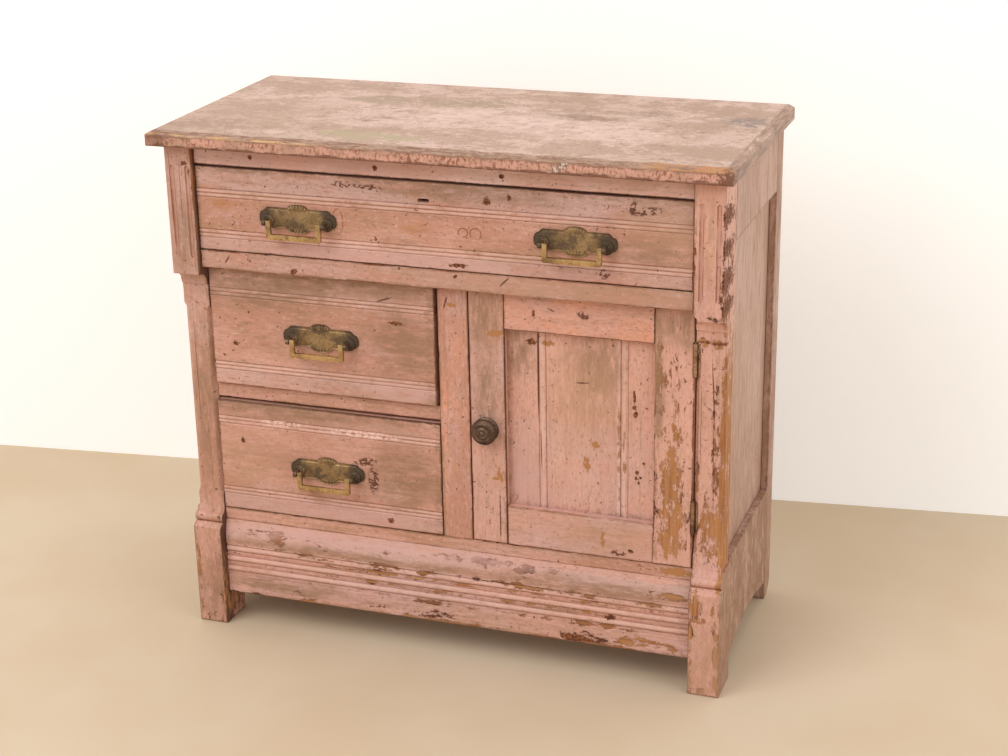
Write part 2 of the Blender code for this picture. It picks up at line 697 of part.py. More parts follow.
def plinth_board():
    """The board between the feet: sloped top, fascia, three reeds with flats, and a plain band."""
    slope_foot = PLINTH_TOP - PLINTH_SLOPE_DROP
    back = PLINTH_FACE + PLINTH_THICKNESS
    outline = [
        (back, PLINTH_CLEARANCE),
        (back, PLINTH_TOP),
        (PLINTH_FACE + PLINTH_SLOPE_RUN, PLINTH_TOP),
        (PLINTH_FACE, slope_foot),
    ]
    head = slope_foot - PLINTH_FASCIA
    for reed in range(REED_COUNT):
        top = head - reed * REED_PITCH
        half = REED_PITCH * REED_SHARE / 2
        outline += [(PLINTH_FACE, top), (PLINTH_FACE + REED_DEPTH, top - BEAD_LIP)]
        for step in range(1, CURVE_STEPS):
            angle = math.pi * step / CURVE_STEPS
            depth = REED_DEPTH * (1 - math.sin(angle))
            outline.append((PLINTH_FACE + depth, top - half * (1 - math.cos(angle)) - BEAD_LIP))
        flat_top = top - 2 * half - BEAD_LIP
        outline += [
            (PLINTH_FACE + REED_DEPTH, flat_top),
            (PLINTH_FACE + REED_FLAT_DEPTH, flat_top - BEAD_LIP),
            (PLINTH_FACE + REED_FLAT_DEPTH, top - REED_PITCH),
        ]
    foot = head - REED_COUNT * REED_PITCH
    outline += [(PLINTH_FACE, foot), (PLINTH_FACE, PLINTH_CLEARANCE)]
    reach = POST_INNER - SEAT_GAP
    return prism("plinth_board", outline, "YZ", (-reach, reach), PAINT)


def bottom_board():
    """Floor of the case, notched round the front posts, seated against the side rails."""
    narrow = POST_INNER - SEAT_GAP
    wide = SIDE_INNER - SEAT_GAP
    notch = FOOT_BACK + SEAT_GAP
    right = [(narrow, CASE_FRONT), (narrow, notch), (wide, notch), (wide, CASE_BACK)]
    outline = right + [(-x, y) for x, y in reversed(right)]
    zs = (BOTTOM_BOARD_UNDERSIDE, BOTTOM_BOARD_TOP)
    return prism("bottom_board", outline, "XY", zs, BARE_WOOD)


def back_panel():
    reach = SIDE_INNER - SEAT_GAP
    zs = (BACK_PANEL_BOTTOM, POST_TOP)
    return box("back_panel", (-reach, reach), (BACK_PANEL_FACE, BACK), zs, BARE_WOOD)


def partition():
    """Wall between the two lower drawers and the door compartment."""
    zs = (BOTTOM_BOARD_TOP + SEAT_GAP, UPPER_RAIL_BOTTOM - SEAT_GAP)
    return box("partition", (PARTITION_LEFT, PARTITION_RIGHT), (CASE_FRONT, CASE_BACK), zs, BARE_WOOD)


def outer_runner(name, side, top, underside):
    outer = SIDE_INNER - SEAT_GAP
    xs = (side * (outer - RUNNER_WIDTH), side * outer)
    box(name, xs, (FOOT_BACK + SEAT_GAP, CASE_BACK), (underside, top), BARE_WOOD)


def partition_runner(name, top, underside):
    right = PARTITION_LEFT - SEAT_GAP
    xs = (right - RUNNER_WIDTH, right)
    ys = (FRONT + MIDDLE_RAIL_SETBACK + RAIL_DEPTH + SEAT_GAP, CASE_BACK)
    box(name, xs, ys, (underside, top), BARE_WOOD)


def runners():
    """Strips under the drawer sides, one pair to each drawer."""
    top_1 = DRAWER_1_BOTTOM - SEAT_GAP
    top_2 = DRAWER_2_BOTTOM - SEAT_GAP
    top_3 = DRAWER_3_BOTTOM - SEAT_GAP
    for side in (-1, 1):
        outer_runner(f"drawer_1_runner_{side_name(side)}", side, top_1, top_1 - RUNNER_THICKNESS)
    outer_runner("drawer_2_runner_left", -1, top_2, top_2 - RUNNER_THICKNESS)
    partition_runner("drawer_2_runner_right", top_2, top_2 - RUNNER_THICKNESS)
    outer_runner("drawer_3_runner_left", -1, top_3, BOTTOM_BOARD_TOP + SEAT_GAP)
    partition_runner("drawer_3_runner_right", top_3, BOTTOM_BOARD_TOP + SEAT_GAP)


def drawer_front_outline(face, bottom, height, bead_shares):
    """Side view: two bands of flush beads on the face and the groove for the bottom behind."""
    back = face + DRAWER_FRONT_THICKNESS
    groove = bottom + DRAWER_GROOVE_HEIGHT
    groove_top = groove + DRAWER_BOTTOM_THICKNESS + 2 * SEAT_GAP
    outline = [(face, bottom)]
    for share in bead_shares:
        outline += bead_band(face, bottom + share * height, BEAD_COUNT, BEAD_PITCH, BEAD_DEPTH)
    outline += [
        (face, bottom + height),
        (back, bottom + height),
        (back, groove_top),
        (back - DRAWER_GROOVE_DEPTH, groove_top),
        (back - DRAWER_GROOVE_DEPTH, groove),
        (back, groove),
        (back, bottom),
    ]
    return outline


def drawer_side_outline(outer, inward, bottom, top):
    """Front view of a drawer side, with the groove for the bottom on its inner face."""
    inner = outer + inward * DRAWER_SIDE_THICKNESS
    groove = bottom + DRAWER_GROOVE_HEIGHT
    groove_top = groove + DRAWER_BOTTOM_THICKNESS + 2 * SEAT_GAP
    return [
        (outer, bottom),
        (inner, bottom),
        (inner, groove),
        (inner - inward * DRAWER_GROOVE_DEPTH, groove),
        (inner - inward * DRAWER_GROOVE_DEPTH, groove_top),
        (inner, groove_top),
        (inner, top),
        (outer, top),
    ]


def drawer(number, right, bottom, height, face, bead_shares):
    """A grooved drawer: front, two sides, back and bottom, all carried by its slide."""
    name = f"drawer_{number}"
    left = DRAWER_LEFT
    behind = face + DRAWER_FRONT_THICKNESS
    top = bottom + height - DRAWER_SIDE_DROP
    outline = drawer_front_outline(face, bottom, height, bead_shares)
    front = prism(name + "_front", outline, "YZ", (left, right), PAINT)
    pieces = [front]
    ys = (behind + SEAT_GAP, DRAWER_END)
    for label, outer, inward in (("left", left, 1), ("right", right, -1)):
        edge = outer + inward * DRAWER_SIDE_INSET
        outline = drawer_side_outline(edge, inward, bottom, top)
        pieces.append(prism(f"{name}_side_{label}", outline, "XZ", ys, BARE_WOOD))
    wall = DRAWER_SIDE_INSET + DRAWER_SIDE_THICKNESS
    floor = bottom + DRAWER_GROOVE_HEIGHT + SEAT_GAP
    tuck = DRAWER_GROOVE_DEPTH - SEAT_GAP
    floor_zs = (floor, floor + DRAWER_BOTTOM_THICKNESS)
    floor_xs = (left + wall - tuck, right - wall + tuck)
    pieces.append(box(name + "_bottom", floor_xs, (behind - tuck, DRAWER_END), floor_zs, BARE_WOOD))
    back_xs = (left + wall + SEAT_GAP, right - wall - SEAT_GAP)
    back_zs = (floor + DRAWER_BOTTOM_THICKNESS + SEAT_GAP, top - DRAWER_BACK_DROP)
    back_ys = (DRAWER_END - DRAWER_BACK_THICKNESS, DRAWER_END)
    pieces.append(box(name + "_back", back_xs, back_ys, back_zs, BARE_WOOD))
    slide = joint_empty(name + "_slide", ((left + right) / 2, face, bottom))
    hang(slide, *pieces)
    return front, slide


def keyhole_cutter(face, z):
    """A flat slot with round ends through the top drawer's front."""
    radius = KEYHOLE_HEIGHT / 2
    reach = KEYHOLE_LENGTH / 2 - radius
    outline = quarter_arc((KEYHOLE_X + reach, z), (radius, radius), -90, 90)
    outline += quarter_arc((KEYHOLE_X - reach, z), (radius, radius), 90, 270)
    ys = (face - OVERRUN, face + DRAWER_FRONT_THICKNESS + OVERRUN)
    return prism("keyhole_cutter", outline, "XZ", ys, None, CUTTERS)


def plate_outline(x, z):
    right = []
    for across, up in PLATE_OUTLINE_SHARES:
        reach = PLATE_CREST if up > 0 else PLATE_FOOT
        right.append((across * PLATE_WIDTH / 2, up * reach))
    left = [(-across, up) for across, up in reversed(right[1:-1])]
    return [(x + across, z + up) for across, up in right + left]


def pull_plate(name, x, z, face):
    """Cast plate with a rosette and a drilled lug near each end."""
    seat = face - SEAT_GAP
    outer = seat - PLATE_THICKNESS
    plate = prism(name + "_plate", plate_outline(x, z), "XZ", (outer, seat), BRASS)
    pivot_y = face - BAIL_STAND
    pivot_z = z - PIVOT_DROP
    for side in (-1, 1):
        middle = x + side * LUG_SPREAD / 2
        label = f"{name}_{side_name(side)}"
        lift = ROSETTE_HEIGHT + PLATE_THICKNESS / 2
        centre = (middle, seat - lift / 2 - PLATE_THICKNESS / 2, pivot_z)
        rosette = rod(label + "_rosette", centre, ROSETTE_RADIUS, lift, (0, 1, 0), LUG_SIDES, None, CUTTERS)
        xs = (middle - LUG_THICKNESS / 2, middle + LUG_THICKNESS / 2)
        nose = quarter_arc((pivot_y, pivot_z), (LUG_RADIUS, LUG_RADIUS), 270, 90)
        root = outer + PLATE_THICKNESS / 2
        outline = nose + [(root, pivot_z + LUG_RADIUS), (root, pivot_z - LUG_RADIUS)]
        lug = prism(label + "_lug", outline, "YZ", xs, None, CUTTERS)
        bore_radius = BAIL_PIN_RADIUS + BAIL_PIN_CLEARANCE
        bore_centre = (middle, pivot_y, pivot_z)
        length = LUG_THICKNESS + OVERRUN
        bore = rod(label + "_bore", bore_centre, bore_radius, length, (1, 0, 0), PIN_SIDES, None, CUTTERS)
        join(plate, rosette, lug)
        cut(plate, bore)
    return plate


def bail_outline(x, pivot_z):
    """Front view of the square bail, with its lower outer corners clipped."""
    half = BAIL_WIDTH / 2
    inner = half - BAIL_STRAP
    top = pivot_z + BAIL_RISE
    bottom = pivot_z - BAIL_DROP
    right = [
        (inner, bottom + BAIL_STRAP),
        (inner, top),
        (half, top),
        (half, bottom + BAIL_CORNER),
        (half - BAIL_CORNER, bottom),
    ]
    left = [(-across, up) for across, up in reversed(right)]
    return [(x + across, up) for across, up in right + left]


def bail(name, x, z, face):
    """The swinging bail with an outward pin at the top of each arm, carried by its pivot."""
    pivot_y = face - BAIL_STAND
    pivot_z = z - PIVOT_DROP
    ys = (pivot_y - BAIL_DEPTH / 2, pivot_y + BAIL_DEPTH / 2)
    handle = prism(name + "_bail", bail_outline(x, pivot_z), "XZ", ys, BRASS)
    for side in (-1, 1):
        start = BAIL_WIDTH / 2 - BAIL_STRAP / 2
        end = LUG_SPREAD / 2 + LUG_THICKNESS / 2
        centre = (x + side * (start + end) / 2, pivot_y, pivot_z)
        label = f"{name}_pin_{side_name(side)}"
        length = end - start
        join(handle, rod(label, centre, BAIL_PIN_RADIUS, length, (1, 0, 0), PIN_SIDES, None, CUTTERS))
    return handle, (x, pivot_y, pivot_z)


def pull(number, x, z, face, slide):
    name = f"pull_{number}"
    hang(slide, pull_plate(name, x, z, face))
    handle, pivot = bail(name, x, z, face)
    hang(joint_empty(name + "_pivot", pivot, slide), handle)


def drawers_and_pulls():
    """One wide drawer above with two pulls and two narrow ones below with one each."""
    face_1 = FRONT + DRAWER_1_SETBACK
    bottoms = (DRAWER_1_BOTTOM, DRAWER_2_BOTTOM, DRAWER_3_BOTTOM)
    heights = (DRAWER_1_HEIGHT, DRAWER_2_HEIGHT, DRAWER_3_HEIGHT)
    rights = (-DRAWER_LEFT, STILE_LEFT - DRAWER_2_RIGHT_GAP, STILE_LEFT - DRAWER_3_RIGHT_GAP)
    faces = (face_1, LOWER_POST_FACE, LOWER_POST_FACE)
    beads = (DRAWER_1_BEAD_SHARES, DRAWER_2_BEAD_SHARES, DRAWER_3_BEAD_SHARES)
    shares = (PULL_DRAWER_1_SHARE, PULL_DRAWER_2_SHARE, PULL_DRAWER_3_SHARE)
    places = ((PULL_1_X, PULL_2_X), (PULL_LOWER_X,), (PULL_LOWER_X,))
    pulls = 0
    for index in range(len(bottoms)):
        bottom, height, face = bottoms[index], heights[index], faces[index]
        front, slide = drawer(index + 1, rights[index], bottom, height, face, beads[index])
        if index == 0:
            cut(front, keyhole_cutter(face, bottom + KEYHOLE_SHARE * height))
        for x in places[index]:
            pulls += 1
            pull(pulls, x, bottom + shares[index] * height, face, slide)


def door_stile(name, inner, outer):
    """Plan view of a stile, with the panel groove in its inner edge."""
    inward = 1 if outer > inner else -1
    depth = inner + inward * (PANEL_TONGUE + SEAT_GAP)
    front, back = DOOR_PANEL_FACE - SEAT_GAP, DOOR_PANEL_BACK + SEAT_GAP
    outline = [
        (outer, DOOR_FACE),
        (inner, DOOR_FACE),
        (inner, front),
        (depth, front),
        (depth, back),
        (inner, back),
        (inner, DOOR_BACK),
        (outer, DOOR_BACK),
    ]
    return prism(name, outline, "XY", (DOOR_BOTTOM, DOOR_TOP), PAINT)


def door_rail(name, inner, outer):
    """Side view of a rail between the stiles, with the panel groove in its inner edge."""
    inward = 1 if outer > inner else -1
    depth = inner + inward * (PANEL_TONGUE + SEAT_GAP)
    front, back = DOOR_PANEL_FACE - SEAT_GAP, DOOR_PANEL_BACK + SEAT_GAP
    outline = [
        (DOOR_FACE, outer),
        (DOOR_FACE, inner),
        (front, inner),
        (front, depth),
        (back, depth),
        (back, inner),
        (DOOR_BACK, inner),
        (DOOR_BACK, outer),
    ]
    xs = (DOOR_FIELD_LEFT + SEAT_GAP, DOOR_FIELD_RIGHT - SEAT_GAP)
    return prism(name, outline, "YZ", xs, PAINT)


def door_panel():
    """The sunk panel, with a flush bead along each of its two board joints."""
    width = DOOR_FIELD_RIGHT - DOOR_FIELD_LEFT
    left = DOOR_FIELD_LEFT - PANEL_TONGUE
    right = DOOR_FIELD_RIGHT + PANEL_TONGUE
    face_points = [(DOOR_PANEL_FACE, left)]
    for share in DOOR_PANEL_BEAD_SHARES:
        middle = DOOR_FIELD_LEFT + share * width
        face_points += bead_band(DOOR_PANEL_FACE, middle, 1, DOOR_PANEL_BEAD, DOOR_PANEL_BEAD_DEPTH)
    face_points += [(DOOR_PANEL_FACE, right), (DOOR_PANEL_BACK, right), (DOOR_PANEL_BACK, left)]
    outline = [(x, y) for y, x in face_points]
    zs = (DOOR_FIELD_BOTTOM - PANEL_TONGUE, DOOR_FIELD_TOP + PANEL_TONGUE)
    return prism("door_panel", outline, "XY", zs, PAINT)


def knuckle_spans(middle, parity):
    """Heights of every other knuckle, with a running gap between neighbours."""
    pitch = HINGE_LENGTH / KNUCKLE_COUNT
    foot = middle - HINGE_LENGTH / 2
    spans = []
    for index in range(parity, KNUCKLE_COUNT, 2):
        low = foot + index * pitch + (SEAT_GAP / 2 if index > 0 else 0)
        high = foot + (index + 1) * pitch - (SEAT_GAP / 2 if index < KNUCKLE_COUNT - 1 else 0)
        spans.append((low, high))
    return spans


def knuckle(name, span, radius):
    centre = (HINGE_X, HINGE_Y, sum(span) / 2)
    return rod(name, centre, radius, span[1] - span[0], (0, 0, 1), KNUCKLE_SIDES, None, CUTTERS)


def leaf_strip_outline(spread):
    """Plan of the strip on the post's chamfer; spread grows it on every side for the seat's cutter."""
    along = Vector((1, -1)).normalized()
    out = Vector((-1, -1)).normalized()
    start = Vector((POST_INNER, LOWER_POST_FACE + CHAMFER))
    near = LEAF_START - spread
    far = LEAF_START + LEAF_WIDTH + spread
    top = LEAF_THICKNESS + spread
    corners = ((near, -spread), (far, -spread), (far, top), (near, top))
    return [tuple(start + along * run + out * rise) for run, rise in corners]


def post_leaf(name, middle):
    """The fixed leaf: a strip on the chamfer, three knuckles and the pin with its ball tips."""
    zs = (middle - HINGE_LENGTH / 2, middle + HINGE_LENGTH / 2)
    leaf = prism(name + "_post_leaf", leaf_strip_outline(0), "XY", zs, IRON)
    for index, span in enumerate(knuckle_spans(middle, 0)):
        join(leaf, knuckle(f"{name}_post_knuckle_{index}", span, KNUCKLE_RADIUS))
    for index, span in enumerate(knuckle_spans(middle, 1)):
        sleeve = (span[0] - SEAT_GAP, span[1] + SEAT_GAP)
        bulk = KNUCKLE_RADIUS + KNUCKLE_CLEARANCE
        cut(leaf, knuckle(f"{name}_post_relief_{index}", sleeve, bulk))
    pin_span = (zs[0] - PIN_TIP, zs[1] + PIN_TIP)
    return join(leaf, knuckle(name + "_pin", pin_span, PIN_RADIUS))


def door_leaf(name, middle):
    """The moving leaf: a plate let into the door's edge with two bored knuckles."""
    xs = (DOOR_RIGHT - DOOR_LEAF_THICKNESS, DOOR_RIGHT)
    ys = (HINGE_Y, DOOR_FACE + DOOR_LEAF_REACH)
    zs = (middle - HINGE_LENGTH / 2, middle + HINGE_LENGTH / 2)
    leaf = box(name + "_door_leaf", xs, ys, zs, IRON)
    for index, span in enumerate(knuckle_spans(middle, 0)):
        relief = (span[0] - SEAT_GAP, span[1] + SEAT_GAP)
        bulk = KNUCKLE_RADIUS + KNUCKLE_CLEARANCE
        cut(leaf, knuckle(f"{name}_door_relief_{index}", relief, bulk))
    for index, span in enumerate(knuckle_spans(middle, 1)):
        join(leaf, knuckle(f"{name}_door_knuckle_{index}", span, KNUCKLE_RADIUS))
    bore = (zs[0] - OVERRUN, zs[1] + OVERRUN)
    return cut(leaf, knuckle(name + "_bore", bore, PIN_RADIUS + PIN_CLEARANCE))


def hinge_seat_cutters(name, middle):
    """Room for the knuckles in post and door, for the strip in the post and for the plate in the door."""
    reach = HINGE_LENGTH / 2 + PIN_TIP + SEAT_GAP
    room = (middle - reach, middle + reach)
    barrel = knuckle(name + "_room", room, KNUCKLE_RADIUS + KNUCKLE_CLEARANCE)
    zs = (middle - HINGE_LENGTH / 2 - SEAT_GAP, middle + HINGE_LENGTH / 2 + SEAT_GAP)
    strip = prism(name + "_strip_seat", leaf_strip_outline(SEAT_GAP), "XY", zs, None, CUTTERS)
    xs = (DOOR_RIGHT - DOOR_LEAF_THICKNESS - SEAT_GAP, DOOR_RIGHT + OVERRUN)
    ys = (DOOR_FACE - OVERRUN, DOOR_FACE + DOOR_LEAF_REACH + SEAT_GAP)
    mortise = box(name + "_mortise", xs, ys, zs, None, CUTTERS)
    return barrel, strip, mortise


def knob():
    """Turned knob, spindle and tongue as one piece; its own +Z points out of the door."""
    stile_inner = DOOR_THICKNESS + TONGUE_CLEARANCE
    profile = [(KNOB_RADIUS * r, KNOB_REACH * h) for r, h in KNOB_PROFILE_SHARES]
    profile += [
        (KNOB_RADIUS * KNOB_FOOT_SHARE, SEAT_GAP),
        (SPINDLE_RADIUS, SEAT_GAP),
        (SPINDLE_RADIUS, -stile_inner - TONGUE_THICKNESS),
        (0, -stile_inner - TONGUE_THICKNESS),
    ]
    mesh = bpy.data.meshes.new("door_knob")
    edges = [(index, index + 1) for index in range(len(profile) - 1)]
    mesh.from_pydata([(radius, 0, height) for radius, height in profile], edges, [])
    turned = finish(bpy.data.objects.new("door_knob", mesh), KNOB_METAL, STAND)
    screw = turned.modifiers.new("turn", "SCREW")
    screw.steps = KNOB_STEPS
    screw.render_steps = KNOB_STEPS
    screw.use_merge_vertices = True
    screw.merge_threshold = WELD_DISTANCE
    turned.rotation_euler = (math.pi / 2, 0, 0)
    turned.location = (KNOB_X, DOOR_FACE, KNOB_HEIGHT)
    xs = (KNOB_X - TONGUE_WIDTH / 2, KNOB_X + TONGUE_WIDTH / 2)
    near = DOOR_FACE + stile_inner
    zs = (KNOB_HEIGHT - TONGUE_LENGTH, KNOB_HEIGHT + TONGUE_WIDTH / 2)
    return join(turned, box("tongue", xs, (near, near + TONGUE_THICKNESS), zs, None, CUTTERS))


def door_and_hinges(right_post):
    """The framed door on its two hinges, with the knob turning in its left stile."""
    left_stile = door_stile("door_stile_left", DOOR_FIELD_LEFT, DOOR_LEFT)
    right_stile = door_stile("door_stile_right", DOOR_FIELD_RIGHT, DOOR_RIGHT)
    top_rail = door_rail("door_top_rail", DOOR_FIELD_TOP, DOOR_TOP)
    bottom_rail = door_rail("door_bottom_rail", DOOR_FIELD_BOTTOM, DOOR_BOTTOM)
    pieces = [left_stile, right_stile, top_rail, bottom_rail, door_panel()]
    for name, middle in (("upper_hinge", HINGE_UPPER_HEIGHT), ("lower_hinge", HINGE_LOWER_HEIGHT)):
        post_leaf(name, middle)
        pieces.append(door_leaf(name, middle))
        barrel, strip, mortise = hinge_seat_cutters(name, middle)
        cut(right_post, barrel, strip)
        cut(right_stile, barrel, mortise)
    hole_radius = SPINDLE_RADIUS + SPINDLE_CLEARANCE
    hole_centre = (KNOB_X, (DOOR_FACE + DOOR_BACK) / 2, KNOB_HEIGHT)
    length = DOOR_THICKNESS + OVERRUN
    hole = rod("spindle_hole", hole_centre, hole_radius, length, (0, 1, 0), KNUCKLE_SIDES, None, CUTTERS)
    cut(left_stile, hole)
    axis = joint_empty("door_hinge_axis", (HINGE_X, HINGE_Y, DOOR_BOTTOM))
    hang(axis, *pieces)
    spindle = joint_empty("knob_axis", (KNOB_X, DOOR_FACE, KNOB_HEIGHT), axis)
    hang(spindle, knob())


def washstand():
    top_board()
    front_post(-1)
    right_post = front_post(1)
    for side in (-1, 1):
        rear_post(side)
        side_panel(side)
        side_top_rail(side)
        side_bottom_rail(side)
    front_rails()
    plinth_board()
    bottom_board()
    back_panel()
    partition()
    runners()
    drawers_and_pulls()
    door_and_hinges(right_post)


washstand()
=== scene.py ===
"""Looks of the painted washstand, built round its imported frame.

Metres, +Z up, the front faces -Y. Every wooden board keeps its CAD shape and gets chipped, uneven
arrises; the pulls and the knob are modelled again in more detail; all finishes are node materials.
"""

import json
import math

import bmesh
import bpy
from mathutils import Matrix, Vector, noise

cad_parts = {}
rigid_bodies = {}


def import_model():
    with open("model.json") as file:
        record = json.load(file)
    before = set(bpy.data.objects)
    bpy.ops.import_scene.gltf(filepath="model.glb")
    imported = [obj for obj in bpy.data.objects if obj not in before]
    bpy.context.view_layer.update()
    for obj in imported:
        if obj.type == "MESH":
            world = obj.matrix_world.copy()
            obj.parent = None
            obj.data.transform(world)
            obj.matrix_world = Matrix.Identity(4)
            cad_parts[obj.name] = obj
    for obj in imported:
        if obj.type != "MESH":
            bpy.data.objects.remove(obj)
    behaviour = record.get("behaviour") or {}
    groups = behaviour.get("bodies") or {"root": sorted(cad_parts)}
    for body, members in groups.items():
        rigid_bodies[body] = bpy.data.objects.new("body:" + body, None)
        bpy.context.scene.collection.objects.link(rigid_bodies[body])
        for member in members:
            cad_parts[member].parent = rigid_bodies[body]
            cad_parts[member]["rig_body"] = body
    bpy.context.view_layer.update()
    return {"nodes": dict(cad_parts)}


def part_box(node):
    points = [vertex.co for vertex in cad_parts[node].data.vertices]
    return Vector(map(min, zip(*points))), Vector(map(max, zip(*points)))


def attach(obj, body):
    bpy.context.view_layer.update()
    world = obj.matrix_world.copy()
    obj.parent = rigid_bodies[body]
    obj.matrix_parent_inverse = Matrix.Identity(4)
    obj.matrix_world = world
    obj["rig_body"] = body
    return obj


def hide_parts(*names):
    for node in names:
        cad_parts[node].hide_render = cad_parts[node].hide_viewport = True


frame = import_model()
NODES = frame["nodes"]
MM = 0.001

# Camera: the photograph's place and direction, angles in degrees
CAMERA_PLACE = Vector((0.8742, -2.3754, 1.2998))
CAMERA_AZIMUTH = 19.4668
CAMERA_PITCH = 20.473
CAMERA_ROLL = -1.0462
CAMERA_LENS = 69.78

# Stage: the wall behind crosses the floor on a line that slopes away to the right
WALL_START = 0.4608
WALL_SLOPE = 0.1194
STAGE_REACH = 9.0
WALL_HEIGHT = 4.0
FLOOR_COLOR = (0.61, 0.475, 0.325)
WALL_COLOR = (0.93, 0.92, 0.9)
WALL_GLOW = 0.22
WORLD_COLOR = (1, 0.985, 0.965, 1)
WORLD_STRENGTH = 0.62
# Square lamps: name, place, target, size and power
LIGHTS = (
    ("key", (-1.4, -2.4, 2.9), (0, 0, 0.4), 2.2, 62),
    ("fill", (2.8, -1.2, 1.7), (0.1, 0, 0.35), 2.0, 20),
    ("overhead", (0.2, 0.0, 3.0), (0, 0, 0), 2.0, 14),
)

# Paint and wood colours, linear
PINK = (0.67, 0.355, 0.275)
DEEP_PINK = (0.55, 0.27, 0.195)
ORANGE_PINK = (0.73, 0.335, 0.215)
LAVENDER = (0.64, 0.38, 0.335)
PALE_PINK = (0.84, 0.57, 0.5)
TAN = (0.48, 0.27, 0.165)
GRIME = (0.3, 0.172, 0.1)
DARK_CHIP = (0.105, 0.032, 0.019)
AMBER = (0.48, 0.215, 0.095)
BARE_WOOD = (0.46, 0.205, 0.08)
BARE_DARK = (0.27, 0.098, 0.04)
BARE_PALE = (0.58, 0.3, 0.145)
# Painted shade of the gaps between parts, with some dirt in it
GAP_SHADE_AND_GRIME_TONE = (0.07, 0.026, 0.017)
COOL_PINK = (0.61, 0.405, 0.365)
CLEAR_PINK = (0.75, 0.41, 0.315)
EDGE_BROWN = (0.15, 0.056, 0.03)
SIDE_BEIGE = (0.52, 0.335, 0.255)
SIDE_PALE = (0.6, 0.405, 0.33)
SIDE_PINK = (0.5, 0.29, 0.23)
SIDE_BROWN = (0.33, 0.18, 0.112)
SIDE_DARK = (0.19, 0.088, 0.052)
TOP_PINK = (0.57, 0.372, 0.305)
TOP_BEIGE = (0.5, 0.335, 0.255)
TOP_TAN = (0.35, 0.212, 0.14)
TOP_BROWN = (0.24, 0.128, 0.082)
TOP_PALE = (0.66, 0.46, 0.395)
# Painted highlight along the top's front arris
TOP_ARRIS_HIGHLIGHT = (0.6, 0.34, 0.15)
EDGE_PINK = (0.5, 0.285, 0.205)
CHIP_WHITE = (0.66, 0.56, 0.49)
STAIN_DARK = (0.19, 0.125, 0.105)
STAIN_BROWN = (0.31, 0.2, 0.12)
STAIN_OLIVE = (0.36, 0.28, 0.15)
INNER_WOOD = (0.5, 0.3, 0.155)
INNER_DARK = (0.26, 0.135, 0.062)
DUST = (0.3, 0.215, 0.145)

# Metals: where it is rubbed, where it is dull, and its dark patina
PLATE_METAL = ((0.4, 0.265, 0.13), (0.275, 0.18, 0.09), (0.105, 0.074, 0.05))
BAIL_METAL = ((0.62, 0.41, 0.19), (0.42, 0.26, 0.115), (0.2, 0.12, 0.06))
HINGE_METAL = ((0.46, 0.28, 0.17), (0.3, 0.16, 0.09), (0.12, 0.06, 0.035))
KNOB_METAL = ((0.16, 0.098, 0.064), (0.108, 0.064, 0.042), (0.045, 0.027, 0.02))

# Arrises longer than LONG_EDGE are worn, in lengths of EDGE_SEGMENT
EDGE_SEGMENT = 0.009
LONG_EDGE = 0.012
# Turns a profile's axis towards the front
FACING = Matrix.Rotation(math.pi / 2, 4, "X")


